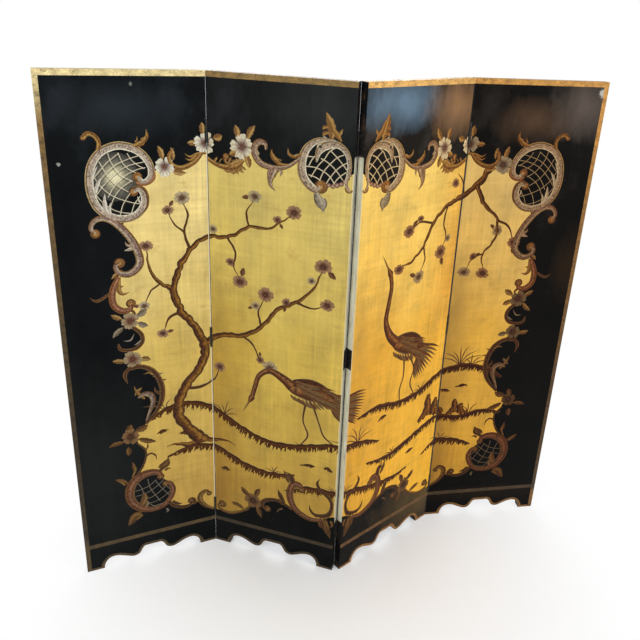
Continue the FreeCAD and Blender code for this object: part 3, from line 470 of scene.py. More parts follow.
INNER_FRONDS = [
    (OCHRE, [(70, 1278, 4), (62, 1268, 4), (52, 1270, 0)]),
    (OCHRE, [(86, 1282, 5), (80, 1268, 4), (70, 1266, 0)]),
    (OCHRE, [(98, 1290, 5), (94, 1276, 4), (86, 1270, 0)]),
    (OCHRE, [(36, 1290, 1.5), (40, 1298, 1.5), (48, 1302, 0)]),
    (OCHRE, [(60, 1288, 1.5), (66, 1297, 1.5), (76, 1301, 0)]),
    (OCHRE, [(72, 1316, 3), (84, 1322, 5), (88, 1334, 4)]),
    (ROSE, [(134, 1350, 0), (140, 1336, 3), (148, 1322, 4)]),
    (OCHRE, [(186, 1340, 0), (184, 1324, 3.5), (196, 1310, 5), (214, 1302, 4), (230, 1304, 2)]),
    (OCHRE, [(190, 1330, 0), (196, 1318, 2), (212, 1312, 1.5)]),
    (SILVER, [(228, 1346, 0), (230, 1332, 2.5), (242, 1326, 3), (256, 1332, 3)]),
    (ROSE, [(190, 1292, 6), (180, 1282, 6), (178, 1262, 5), (182, 1244, 4), (196, 1228, 0)]),
    (ROSE, [(204, 1292, 5), (212, 1282, 4), (208, 1268, 0)]),
    (OCHRE, [(330, 1436, 1), (341, 1420, 5), (349, 1402, 7), (360, 1390, 7), (371, 1376, 1)]),
    (OCHRE, [(336, 1410, 2), (324, 1408, 4.5), (320, 1402, 1)]),
    (OCHRE, [(338, 1396, 2), (325, 1393, 5), (321, 1386, 1)]),
    (SILVER, [(322, 1384, 4), (334, 1376, 5), (352, 1374, 5), (374, 1362, 3)]),
    (SILVER, [(330, 1226, 4), (334, 1212, 6), (330, 1198, 4), (326, 1186, 0)]),
    (SILVER, [(310, 1222, 4), (314, 1208, 5), (322, 1200, 3)]),
    (OCHRE, [(386, 1262, 2), (390, 1252, 3.5), (400, 1250, 3), (405, 1256, 2)]),
    (OCHRE, [(60, 160, 0), (76, 166, 3), (92, 160, 2)]),
    (UMBER, [(96, 150, 3), (112, 156, 4), (124, 168, 0)]),
    (UMBER, [(214, 176, 0), (224, 190, 3), (236, 198, 3)]),
    (SILVER, [(218, 178, 0), (222, 188, 2), (232, 194, 2)]),
    (UMBER, [(216, 232, 0), (228, 224, 5), (236, 212, 5)]),
    (UMBER, [(250, 340, 0), (262, 332, 5), (268, 316, 6), (274, 300, 6)]),
    (UMBER, [(238, 330, 0), (252, 328, 4), (262, 320, 4)]),
    (OCHRE, [(272, 286, 4), (280, 292, 5), (292, 292, 4)]),
    (UMBER, [(370, 180, 6), (372, 164, 5), (384, 146, 3), (392, 130, 0)]),
    (OCHRE, [(378, 190, 5), (384, 174, 5), (392, 160, 0)]),
    (OCHRE, [(394, 196, 4), (400, 182, 4), (396, 168, 0)]),
    (UMBER, [(344, 196, 3), (352, 204, 4), (366, 206, 4), (384, 214, 3)]),
]
# Brown undersides of the arms of the upper cartouche
ARM_SHADES = [
    (RUSSET, [(268, 1268, 2), (264, 1250, 5), (248, 1238, 6), (230, 1237, 5), (218, 1242, 1)]),
    (UMBER, [(226, 1152, 2), (242, 1172, 4), (246, 1198, 5), (238, 1220, 6), (222, 1228, 5),
     (208, 1224, 1)]),
]
# Blossoms and beads: u, z and radius
OUTER_BLOSSOMS = [
    (293, 1280, 29.2), (402, 1338, 30.2), (180, 847, 29.2), (180, 727, 28.3), (158, 468, 29.2),
]
INNER_BLOSSOMS = [
    (-4, 1338, 30.2), (102, 1338, 34.8), (134, 200, 31.1),
]
CENTRE_BEADS = [
    (342, 1262, 6), (353, 1260, 6.5), (364, 1264, 7), (375, 1268, 6.5), (384, 1276, 6), (392, 1284, 5),
    (397, 1294, 4.5),
]
# Leaves: u and z of the base, u and z of the tip, and breadth
OUTER_LEAVES = [
    (290, 1298, 279, 1335, 17.2), (311, 1268, 351, 1260, 17.2), (396, 1361, 394, 1393, 19.1),
    (382, 1338, 355, 1340, 17.2), (199, 858, 228, 878, 21.1), (199, 840, 229, 826, 19.1),
    (160, 856, 131, 873, 17.2), (162, 831, 131, 802, 17.2), (199, 724, 230, 717, 18.2),
    (160, 722, 125, 729, 18.2), (172, 485, 211, 500, 24), (179, 457, 232, 435, 20.2),
    (140, 454, 95, 446, 17.2), (150, 434, 148, 403, 19.1), (152, 488, 163, 511, 19.1),
    (162, 341, 158, 378, 12.5), (142, 299, 104, 326, 17.2), (175, 186, 132, 142, 30.7),
    (238, 328, 267, 366, 19.1), (232, 336, 262, 356, 15), (318, 1296, 312, 1330, 13),
    (160, 1000, 140, 978, 12), (232, 660, 262, 668, 9), (252, 640, 272, 644, 8), (200, 630, 178, 606, 12),
]
INNER_LEAVES = [
    (18, 1353, 45, 1362, 23), (91, 1359, 82, 1393, 21.1), (116, 1359, 138, 1396, 21.1),
    (87, 1323, 65, 1313, 21.1), (112, 1320, 123, 1283, 21.1), (124, 213, 93, 244, 20.2),
    (142, 216, 158, 253, 20.2), (148, 186, 164, 139, 21.1), (102, 158, 57, 172, 17.2),
    (346, 1376, 327, 1446, 27), (358, 1386, 372, 1408, 10), (372, 206, 396, 126, 27),
    (362, 200, 364, 158, 14), (108, 1302, 58, 1270, 25), (92, 1296, 64, 1280, 13),
    (196, 1294, 184, 1258, 18), (254, 300, 236, 346, 15), (60, 1280, 78, 1260, 9), (72, 1281, 92, 1262, 10),
    (84, 1284, 106, 1268, 10), (94, 1290, 114, 1277, 9), (44, 1280, 58, 1264, 8), (62, 1290, 70, 1307, 8),
    (76, 1290, 87, 1307, 9), (20, 1290, 30, 1304, 8),
]
IVORY_LEAVES = [
    (148, 1150, 141, 1216, 14), (143, 1156, 122, 1198, 10), (152, 1152, 154, 1192, 9),
    (118, 1212, 138, 1260, 11), (112, 1244, 129, 1288, 9), (228, 1184, 222, 1204, 6),
]
# Bars of the lattices in the cartouches, as places (u, z) along each
UPPER_BARS = [
    [(133, 1299), (150, 1264), (172, 1237), (199, 1217)],
    [(155, 1321), (163, 1294), (184, 1262), (212, 1243)],
    [(180, 1320), (190, 1294), (203, 1277), (222, 1266)],
    [(202, 1318), (213, 1299), (228, 1285), (243, 1277)],
    [(117, 1262), (135, 1232), (162, 1207), (200, 1190), (230, 1182)],
    [(118, 1215), (135, 1192), (158, 1172), (182, 1162), (208, 1158)],
    [(108, 1246), (128, 1270), (152, 1296), (182, 1319)],
    [(114, 1228), (140, 1261), (170, 1288), (204, 1303), (228, 1310)],
    [(115, 1205), (140, 1238), (170, 1268), (204, 1286), (242, 1294)],
    [(148, 1205), (166, 1235), (190, 1258), (222, 1274), (245, 1279)],
    [(148, 1168), (163, 1204), (182, 1228), (210, 1247)], [(175, 1155), (184, 1184), (205, 1216)],
    [(203, 1157), (212, 1182), (228, 1204)],
]
CENTRE_BARS = [
    [(344, 1350), (359, 1337), (374, 1322), (388, 1306)],
    [(318, 1329), (334, 1322), (351, 1310), (364, 1297), (378, 1279)],
    [(276, 1305), (305, 1304), (329, 1295), (345, 1283), (357, 1266)],
    [(286, 1284), (310, 1277), (328, 1264)], [(276, 1331), (301, 1331)],
    [(286, 1306), (293, 1321), (302, 1334)],
    [(293, 1278), (302, 1294), (314, 1313), (328, 1329), (340, 1348), (359, 1362)],
    [(316, 1270), (327, 1296), (345, 1319), (361, 1335), (379, 1344)],
    [(334, 1264), (345, 1283), (361, 1304), (377, 1318), (390, 1325)],
    [(354, 1266), (368, 1285), (386, 1300)],
]
LOWER_BARS = [
    [(160, 268), (182, 271), (204, 279), (224, 295)],
    [(162, 248), (186, 251), (208, 259), (230, 274), (247, 290)],
    [(188, 230), (208, 233), (230, 245), (256, 267)], [(195, 211), (221, 214), (246, 226), (274, 248)],
    [(210, 196), (240, 200), (264, 214)], [(171, 294), (180, 272), (184, 248)],
    [(199, 304), (203, 276), (212, 251), (233, 210)], [(221, 294), (235, 266), (260, 227)],
    [(244, 276), (262, 252), (274, 238)], [(182, 248), (190, 226), (203, 206), (218, 192)],
]
# Paint across the lattices' bars: pale, grey and dim ones, and the dark line beside the pale ones
BAR = [(-1, (130, 116, 96)), (-0.4, (240, 232, 208)), (0.4, (228, 218, 192)), (1, (118, 104, 86))]
GREY_BAR = [(-1, (96, 86, 78)), (-0.3, (176, 166, 152)), (0.4, (164, 152, 138)), (1, (84, 74, 66))]
DIM_BAR = [(-1, (92, 80, 64)), (-0.3, (200, 186, 158)), (0.4, (186, 170, 142)), (1, (84, 70, 56))]
DARK_BAR = [(-1, (58, 52, 44)), (0, (30, 27, 24)), (1, (58, 52, 44))]
# Painted reflection under the first cartouche's lattice, a pale wash fading outwards: its middle, its
# half breadth and half height, and its paint from the middle outwards
REFLECTION_MIDDLE = (168, 1258)
REFLECTION_HALVES = (64, 70)
REFLECTION_PAINT = [(0, (246, 240, 208)), (0.22, (232, 226, 188)), (0.4, (150, 146, 124)), (0.62, (104, 102, 94)),
        (0.9, (62, 62, 58)), (1, (26, 26, 26))]
# Light and dark paint of leaves
OCHRE_LEAF = ((204, 168, 106), (116, 82, 44))
GREY_LEAF = ((180, 168, 146), (108, 94, 76))
BROWN_LEAF = ((158, 116, 64), (98, 64, 36))
IVORY_LEAF = ((240, 236, 226), (182, 174, 160))
# Height below which leaves are brown, the one below which some are grey, and the share of those
BROWN_LEVEL = 500
GREY_LEVEL = 1100
GREY_SHARE = 0.3
# Paint of petals' rims, middles and hearts, by the height above which it holds
PETAL_PAINTS = [
    (0, ((160, 122, 80), (124, 84, 56), (76, 44, 32))),
    (600, ((182, 160, 126), (156, 114, 92), (108, 62, 50))),
    (1000, ((228, 222, 204), (186, 166, 156), (110, 78, 76))),
]
# Brightness of the fourth panel's blossoms beside the others'
DIM_PETALS = 0.76
# Share of the paint's brightness that is left at each height
BORDER_MUTING = ((150, 0.74), (700, 0.86), (1200, 1))


def bars(relief, lines, half, palette, shadow=None):
    """Painted lattice bars, each with a thinner line beside it where a shadow paint is given."""
    for line in lines:
        curve = smooth(line, 4.0)
        stroke(relief, np.insert(curve, 2, half, 1), 0.3, palette, 4.0)
        if shadow:
            aside = curve - sideways(curve) * 4.4
            stroke(relief, np.insert(aside, 2, half * 0.6, 1), 0.24, shadow, 4.0)


def painted_reflection(relief):
    """A painted reflection: a thin oval wash of pale paint, fading outwards."""
    share = np.r_[0.004, np.linspace(0.12, 1, 9)][:, None]
    angle = np.linspace(0, 2 * math.pi, 33)[None, :]
    wide, tall = REFLECTION_HALVES
    u, z = around(REFLECTION_MIDDLE, wide * share, angle, tall / wide)
    relief.grid(u, z, np.where(share > RIM, -0.1, 0.08) + 0 * angle, shade(REFLECTION_PAINT, share + 0 * angle))


def cartouches(relief, with_reflection):
    """The outer panels' lattices and the leaves on them; with a painted reflection on the first panel."""
    # Painted reflection in the first panel's upper cartouche
    if with_reflection:
        painted_reflection(relief)
    bars(relief, UPPER_BARS, 1.35, BAR if with_reflection else DIM_BAR, DARK_BAR if with_reflection else None)
    bars(relief, LOWER_BARS, 1.3, GREY_BAR)
    for u1, z1, u2, z2, breadth in IVORY_LEAVES:
        leaf(relief, (u1, z1), (u2, z2), breadth, 0.5, *IVORY_LEAF, bend=0.08)
    leaf(relief, (170, 204), (186, 258), 24, 0.5, (186, 146, 92), (128, 84, 50), bend=-0.12)
    leaf(relief, (186, 196), (196, 222), 14, 0.5, (200, 172, 132), (134, 96, 60), 2)


def foliage(relief, leaves):
    """Leaves of the border, a few of them grey, and brown near the foot."""
    for u1, z1, u2, z2, breadth in leaves:
        grey = random.random() < GREY_SHARE and z1 < GREY_LEVEL
        paints = BROWN_LEAF if z1 < BROWN_LEVEL else GREY_LEAF if grey else OCHRE_LEAF
        lobes = 4 if breadth > 20 else 3
        leaf(relief, (u1, z1), (u2, z2), breadth, 0.4, *paints, lobes, random.uniform(-0.08, 0.08))


def scrollwork(relief, fronds, scrolls):
    """Fronds and scrolls, with a snail-lined boss at each end that has one."""
    for paint, rows in fronds:
        band(relief, rows, 0.42, paint, COARSE, 2.5, inner=True, scale=1.1)
    for paint, first, last, rows in scrolls:
        band(relief, rows, 0.48, paint, spacing=2.5, inner=True, flutes=8.0)
        for end, radius in ((0, first), (-1, last)):
            if radius:
                turns = 1.5 if end else -1.5
                disc(relief, rows[end], radius * 1.12, 0.5, BOSS, turns, end * 2.0 + 1.2)


def blossoms(relief, places, brightness=1):
    """The border's blossoms, each in the paint of its height."""
    for u, z, radius in places:
        paints = [paints for start, paints in PETAL_PAINTS if z > start][-1]
        paints = [tuple(brightness * tone for tone in paint) for paint in paints]
        blossom(relief, (u, z), radius, 0.48, paints, random.uniform(0, 1))


def border(panel):
    """The raised border of scrolls, cartouches, blossoms and leaves on one panel."""
    relief = Relief(panel, mirrored=panel > 2, muting=BORDER_MUTING)
    if panel in (1, 4):
        cartouches(relief, with_reflection=panel == 1)
        foliage(relief, OUTER_LEAVES)
        scrollwork(relief, OUTER_FRONDS + ARM_SHADES, OUTER_SCROLLS)
        blossoms(relief, OUTER_BLOSSOMS, DIM_PETALS if panel == 4 else 1)
    else:
        bars(relief, CENTRE_BARS, 1.7, BAR)
        foliage(relief, INNER_LEAVES)
        scrollwork(relief, INNER_FRONDS, INNER_SCROLLS)
        for u, z, radius in CENTRE_BEADS:
            disc(relief, (u, z), radius, 0.45, BEAD)
        disc(relief, (316, 1358), 11, 0.5, EYELET)
        blossoms(relief, INNER_BLOSSOMS)
    piece = relief.build("panel_%d_painted_border" % panel, painted[panel])
    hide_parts("panel_%d_scrollwork" % panel)


# Picture on the gold field, in flat places: u runs on across the four panels in line

# Paint across strokes; its outermost line is a halo of rubbed gold
HALO = (232, 210, 150)
BARK = [(-1, HALO), (-0.9, (48, 24, 12)), (-0.7, (92, 56, 22)), (-0.3, (166, 122, 50)), (0.05, (106, 66, 26)),
        (0.45, (84, 50, 32)), (0.78, (60, 32, 16)), (0.9, (44, 22, 11)), (1, HALO)]
TWIG = [(-1, HALO), (-0.7, (60, 30, 10)), (0, (92, 54, 18)), (0.7, (54, 27, 9)), (1, HALO)]
BANK = [(-1, HALO), (-0.8, (64, 33, 10)), (-0.3, (104, 60, 20)), (0.2, (58, 30, 10)), (0.8, (46, 23, 7)),
        (1, HALO)]
HATCH = [(-1, (98, 60, 18)), (0, (58, 30, 8)), (1, (104, 64, 22))]
NECK = [(-1, HALO), (-0.86, (52, 26, 14)), (-0.5, (122, 76, 44)), (-0.1, (156, 114, 70)), (0.3, (98, 54, 30)),
        (0.8, (70, 36, 19)), (0.9, (48, 23, 12)), (1, HALO)]
PLUMES = [[(-1, (62, 36, 26)), (-0.5, light), (0, dark), (0.5, light), (1, (60, 34, 24))] for light, dark in (
    ((122, 80, 48), (78, 42, 24)), ((150, 120, 74), (94, 58, 32)), ((138, 126, 94), (84, 56, 36)))]
BEAK = [(-1, (70, 40, 28)), (0, (150, 122, 84)), (1, (66, 36, 26))]
PUPIL = [(0, (30, 18, 14)), (0.5, (30, 18, 14)), (0.8, (196, 168, 120)), (1, (90, 54, 40))]
# Rims, middles and hearts of the tree's blossoms, and of the grey ones among them
ROSY_SPRIG = ((162, 128, 100), (126, 88, 70), (72, 40, 34))
GREY_SPRIG = ((184, 168, 136), (148, 126, 102), (84, 58, 48))
SPRIG_LEAF = ((128, 92, 62), (92, 58, 42))

# Banks, the tree's trunk, limbs and twigs: places as (u, z, half breadth)
BANKS = [
    [(214, 512, 1), (262, 540, 3.5), (330, 552, 4.5), (410, 520, 4), (500, 470, 4), (590, 438, 4.5),
     (690, 446, 4), (790, 472, 4), (880, 462, 3.5), (950, 436, 1)],
    [(1432, 560, 1), (1370, 596, 4), (1290, 610, 4.5), (1200, 588, 4), (1110, 552, 4.5), (1020, 548, 4),
     (930, 566, 3.5), (850, 556, 1)],
    [(1446, 420, 1), (1380, 432, 3.5), (1300, 412, 4.5), (1200, 418, 4), (1100, 388, 4), (1000, 360, 4),
     (900, 372, 1)],
    [(262, 372, 1), (340, 392, 4), (430, 372, 4), (520, 332, 4.5), (610, 322, 3.5), (680, 338, 1)],
    [(646, 268, 1), (720, 298, 4), (820, 300, 4.5), (920, 276, 4), (1020, 262, 3), (1090, 272, 1)],
    [(1160, 292, 1), (1230, 322, 4), (1300, 316, 3.5), (1352, 296, 1)],
]
TRUNK = [(372, 398, 24), (350, 436, 20), (316, 482, 17), (300, 540, 17), (322, 604, 16), (368, 662, 15),
         (388, 730, 14), (362, 800, 13), (322, 858, 12), (304, 926, 11), (322, 992, 9.5), (352, 1046, 8)]
LIMBS = [
    [(386, 742, 11), (440, 776, 9), (506, 786, 8), (566, 826, 7), (612, 886, 6), (668, 918, 5),
     (716, 968, 4), (742, 1022, 1.5)],
    [(348, 1038, 8), (398, 1076, 7), (462, 1082, 6), (528, 1120, 5), (590, 1126, 4), (648, 1168, 1.5)],
    [(306, 930, 8), (268, 952, 6), (240, 1000, 4), (236, 1050, 1.5)],
    [(1296, 1272, 12), (1268, 1226, 10), (1222, 1186, 9), (1160, 1166, 7.5), (1102, 1120, 6.5),
     (1068, 1056, 5), (1020, 1016, 4), (980, 1010, 1.2)],
    [(1262, 1218, 8), (1292, 1160, 6.5), (1338, 1112, 5), (1340, 1050, 4), (1306, 1000, 3), (1312, 950, 1)],
    [(352, 420, 12), (400, 402, 8), (446, 408, 4), (480, 396, 1)],
    [(372, 408, 12), (330, 400, 9), (286, 414, 4), (262, 408, 1)],
]
TWIGS = [
    [(506, 786, 4), (540, 762, 3), (560, 722, 2.5), (586, 704, 1)],
    [(566, 826, 4), (556, 870, 3), (574, 914, 1)], [(668, 918, 3.5), (712, 908, 3), (748, 920, 1)],
    [(462, 1082, 4), (486, 1040, 3), (480, 996, 2), (498, 966, 1)],
    [(528, 1120, 3.5), (520, 1160, 3), (540, 1196, 1)],
    [(352, 1046, 5), (338, 1096, 3.5), (350, 1142, 3), (336, 1180, 1)],
    [(338, 1096, 3), (312, 1120, 2.5), (300, 1150, 1)], [(268, 952, 3.5), (242, 932, 2.5), (226, 900, 1)],
    [(1160, 1166, 4), (1148, 1116, 3), (1164, 1070, 2.5), (1150, 1034, 1)],
    [(1102, 1120, 3.5), (1052, 1132, 3), (1014, 1118, 1)],
    [(1068, 1056, 3), (1080, 1014, 2.5), (1064, 976, 1)],
    [(1222, 1186, 4), (1216, 1228, 3), (1190, 1256, 1)],
    [(1338, 1112, 3.5), (1376, 1090, 3), (1398, 1050, 1)],
    [(1306, 1000, 2.5), (1274, 984, 2), (1258, 950, 1)], [(322, 858, 6), (288, 842, 4), (272, 806, 1)],
    [(322, 604, 7), (372, 600, 5), (414, 622, 3), (428, 656, 1)],
]
# Short marks on the banks: u, z, length and rise
DASHES = [
    (236, 462, 34, 6), (300, 448, 30, -6), (1216, 520, 40, -8), (1280, 530, 34, 4), (700, 380, 44, 4),
    (770, 388, 30, -8), (940, 512, 34, 8), (430, 300, 32, -4), (1080, 330, 36, 6),
]
# Blossoms of the tree: u, z and radius
SPRIGS = [
    (592, 694, 21), (562, 716, 13), (576, 926, 22), (548, 888, 13), (758, 924, 19), (742, 1036, 23),
    (712, 990, 13), (500, 954, 22), (470, 1010, 14), (544, 1208, 18), (656, 1176, 19), (610, 1150, 13),
    (336, 1192, 20), (296, 1160, 15), (234, 1064, 17), (222, 888, 15), (432, 668, 18), (1146, 1022, 22),
    (1172, 1062, 13), (1004, 1112, 20), (1046, 1142, 12), (1060, 962, 20), (974, 1004, 18),
    (1402, 1038, 18), (1252, 940, 19), (1276, 992, 12), (1314, 936, 20), (1344, 1076, 15), (1184, 1228, 15),
    (640, 912, 14), (420, 1100, 13), (268, 796, 15),
]
# Lumps of a rock in shares of its size: foot's place, lean in degrees, length and half breadth
LUMPS = [
    (-0.55, 0.1, 66, 0.9, 0.24), (-0.2, 0.2, 92, 1.35, 0.28), (0.2, 0.1, 78, 1.05, 0.3),
    (0.55, 0.0, 108, 0.75, 0.26), (-0.85, 0.0, 50, 0.5, 0.16), (0.9, 0.0, 120, 0.45, 0.16),
]
ROCKS = [((1180, 428), 62), ((1286, 420), 40)]
# Tufts: place, number of blades and reach
TUFTS = [
    ((1278, 612), 7, 96), ((1318, 606), 5, 60), ((446, 498), 6, 70), ((858, 470), 6, 84),
    ((1240, 322), 4, 44), ((610, 326), 4, 40), ((812, 300), 5, 52), ((262, 540), 4, 60),
    ((1120, 552), 4, 46), ((1010, 362), 4, 40), ((1330, 420), 5, 60),
]
# A crane about its body's middle: trunk and start of the throat as (x, y, half breadth), the wing's
# rows as (feathers, length, half breadth), and its toes as (reach, rise)
BODY = [(-72, 6, 4), (-60, 10, 19), (-30, 10, 33), (8, 6, 39), (44, -2, 30), (76, -18, 10)]
THROAT = [(-52, 12, 19)]
WING_ROWS = ((11, 118, 5.2), (9, 78, 5.4), (8, 46, 5.6), (7, 26, 5.0))
TAIL_FEATHERS = 13
BELLY_FEATHERS = 9
TOES = ((-26, -9), (-20, 6), (16, -10))
# Each crane: place, tilt, neck, tip of the beak, legs and droop of the tail
CRANES = [
    ((1040, 742), -12, [(958, 800, 15), (938, 850, 10), (944, 905, 8.5), (950, 955, 8), (942, 996, 8)],
     (906, 1058), [[(1030, 706, 5), (1034, 640, 3.2), (1022, 592, 3.6), (1026, 552, 2.6)],
                   [(1056, 700, 5), (1078, 650, 3.2), (1068, 600, 3.6), (1088, 556, 2.6)]], 1.25),
    ((716, 640), 4, [(636, 668, 15), (594, 686, 10.5), (560, 664, 8.5), (546, 622, 8), (536, 584, 8)],
     (506, 526), [[(706, 600, 5), (700, 540, 3.2), (716, 492, 3.6), (694, 452, 2.6)],
                  [(730, 596, 5), (750, 540, 3.2), (766, 500, 3.6), (798, 476, 2.6)]], 0.8),
]


class Sheets:
    """Paint laid across all the panels as if they stood in line."""

    def __init__(self):
        self.sheets = {panel: Relief(panel, margin=4.2) for panel in PANELS}

    def grid(self, u, z, height, colour):
        """The part of a sheet of quads that falls on each panel."""
        for panel, sheet in self.sheets.items():
            start = (panel - 1) * WIDTH
            if u.max() > start + 1 and u.min() < start + WIDTH - 1:
                sheet.grid(u - start, z, height, colour)


def gnarl(rows, bends, swell):
    """The same line with knots: places and breadths shaken by seeded amounts."""
    curve = smooth(rows, 13)
    shaken = []
    for number, (u, z, half) in enumerate(curve):
        bend = 0 if number in (0, len(curve) - 1) else bends
        shaken.append((u + random.uniform(-bend, bend), z + random.uniform(-bend, bend),
                       half * random.uniform(1 - swell, 1 + swell)))
    return shaken


def bank(field, rows, fringe=1.0):
    """The grassy edge of a bank: a dark line with hatching hung from it."""
    for u, z, half in smooth(rows, 6)[1:-1]:
        for _ in range(2):
            lean = random.uniform(-12, 5)
            drop = random.uniform(11, 27) * fringe * min(1, half / 4)
            u1, z1 = u + random.uniform(-4, 4), z - half * 0.2
            hung = [(u1, z1, 2.8), (u1 + lean * 0.4, z1 - drop * 0.6, 2.4), (u1 + lean, z1 - drop, 0.2)]
            stroke(field, hung, 0.14, HATCH)
    band(field, gnarl(rows, 1.0, 0.25), 0.2, BANK, COARSE, scale=1.9)


def tuft(field, at, blades, reach):
    """Blades of grass fanned up from one place."""
    for number in range(blades):
        lean = 90 + 60 * (number / (blades - 1) - 0.5) * 2 + random.uniform(-6, 6)
        across, up = toward(lean, reach * random.uniform(0.6, 1.0))
        blade = [(at[0] + random.uniform(-3, 3), at[1], 1.54), (at[0] + across * 0.5, at[1] + up * 0.55, 2.2),
                 (at[0] + across * 1.28, at[1] + up * 0.92 - abs(across) * 0.112, 0.2)]
        stroke(field, blade, 0.16, TWIG)


def plume(x, y, angle, length, half, bow=0.12):
    """Places along one feather, bowed a little."""
    dx, dy = toward(angle, length)
    return [(x, y, half * 0.5), (x + dx * 0.35 + dy * bow, y + dy * 0.35 - dx * bow * 0.6, half),
            (x + dx * 0.75 + dy * bow * 0.7, y + dy * 0.75, half * 0.8), (x + dx, y + dy, 0.3)]


def crane_leg(field, rows):
    """A leg with three toes."""
    stroke(field, rows, 0.16, TWIG)
    u, z = rows[-1][:2]
    for reach, drop in TOES:
        toe = [(u, z, 1.6), (u + reach * 0.5, z + drop * 0.3, 1.44), (u + reach, z + drop, 0.2)]
        stroke(field, toe, 0.15, TWIG)


def crane_head(field, head, tip):
    """A head, beak and eye, pointed at the beak's tip."""
    ahead = np.subtract(tip, head[:2])
    length = np.linalg.norm(ahead)
    across, up = ahead / length

    def along(reach, half):
        return head[0] + across * reach, head[1] + up * reach, half

    band(field, [along(-10, 4), along(0, 10.5), along(14, 6.5), along(24, 2.5)], 0.46, NECK, spacing=4.0)
    stroke(field, [along(20, 3.4), along(length * 0.7, 2.2), along(length, 0.3)], 0.4, BEAK, 5.0)
    disc(field, (head[0] + across * 5 - up * 2, head[1] + up * 5 + across * 2), 2.6, 0.5, PUPIL)


def crane(field, at, tilt, neck, tip, legs, tail):
    """A crane with layered plumage: its body about one place, its neck and legs as drawn."""
    cos, sin = toward(tilt)

    def placed(rows):
        return [(at[0] + (x * cos - y * sin), at[1] + x * sin + y * cos, half) for x, y, half in rows]

    def feather(tone, height, *shape):
        stroke(field, placed(plume(*shape)), height, PLUMES[tone % 3], 7.0)

    for rows in legs:
        crane_leg(field, rows)
    for number, share in enumerate(np.linspace(0, 1, TAIL_FEATHERS)):
        x, y, angle = 38 + 26 * share, 20 - 52 * share, (-14 - 52 * share) * tail
        feather(number, 0.2, x, y, angle, 128 - 34 * share, 5.6)
    band(field, placed(BODY), 0.3, NECK, spacing=6.0, flutes=11.0)
    for number, share in enumerate(np.linspace(0, 1, BELLY_FEATHERS)):
        y = -16 - 12 * math.sin(share * 3)
        feather(number + 1, 0.23, -58 + 92 * share, y, -38 - 16 * share, 38, 5.0)
    for row, (count, length, half) in enumerate(WING_ROWS):
        for number, share in enumerate(np.linspace(0, 1, count)):
            x, y = -36 + 30 * share - 2.4 * row, 34 - 34 * share - 2 * row
            feather(number + row, 0.3 + 0.05 * row, x, y, -9 - 22 * share, length, half, 0.10)
    band(field, placed(THROAT) + neck, 0.44, NECK, flutes=9.0)
    crane_head(field, neck[-1], tip)


def rock(field, at, size):
    """A garden rock of lapping, leaning lumps."""
    for x, y, lean, length, half in LUMPS:
        across, up = toward(lean, length)
        rows = [(at[0] + (x + share * across) * size, at[1] + (y + share * up) * size,
                 half * size * math.sin(math.pi * (0.16 + 0.76 * share)) ** 0.7)
                for share in (0, 0.25, 0.5, 0.75, 1)]
        band(field, gnarl(rows, size * 0.04, 0.14), 0.26, BARK, spacing=6.0, flutes=17.0)


def tree(field):
    """The plum tree and the hanging branch, with their blossoms and young leaves."""
    band(field, gnarl(TRUNK, 3.0, 0.14), 0.4, BARK, flutes=19.0)
    for rows in LIMBS:
        band(field, gnarl(rows, 2.2, 0.16), 0.34, BARK, flutes=17.0)
    for rows in TWIGS:
        stroke(field, gnarl(rows, 1.2, 0.15), 0.26, TWIG, 5.0, 1.25)
    for number, (u, z, radius) in enumerate(SPRIGS):
        paints = ROSY_SPRIG if number % 3 else GREY_SPRIG
        blossom(field, (u, z), radius * 1.2, 0.22, paints, number * 0.7, random.uniform(0.78, 1.0))
        if number % 2:
            base, tip = (around((u, z), radius * reach, 0.6 + number) for reach in (0.8, 2.1))
            leaf(field, base, tip, radius * 0.8, 0.18, *SPRIG_LEAF, 2)


def picture():
    """A garden with two cranes under a plum tree, painted across the gold."""
    field = Sheets()
    for rows in BANKS:
        bank(field, rows)
    for u, z, length, rise in DASHES:
        bank(field, [(u, z, 0.4), (u + length / 2, z + rise * 0.5 + 4, 3), (u + length, z + rise, 0.4)], 0.6)
    for at, size in ROCKS:
        rock(field, at, size)
    tree(field)
    for drawn in CRANES:
        crane(field, *drawn)
    for drawn in TUFTS:
        tuft(field, *drawn)
    for panel, sheet in field.sheets.items():
        sheet.build("panel_%d_picture" % panel, painted[panel])


# Materials


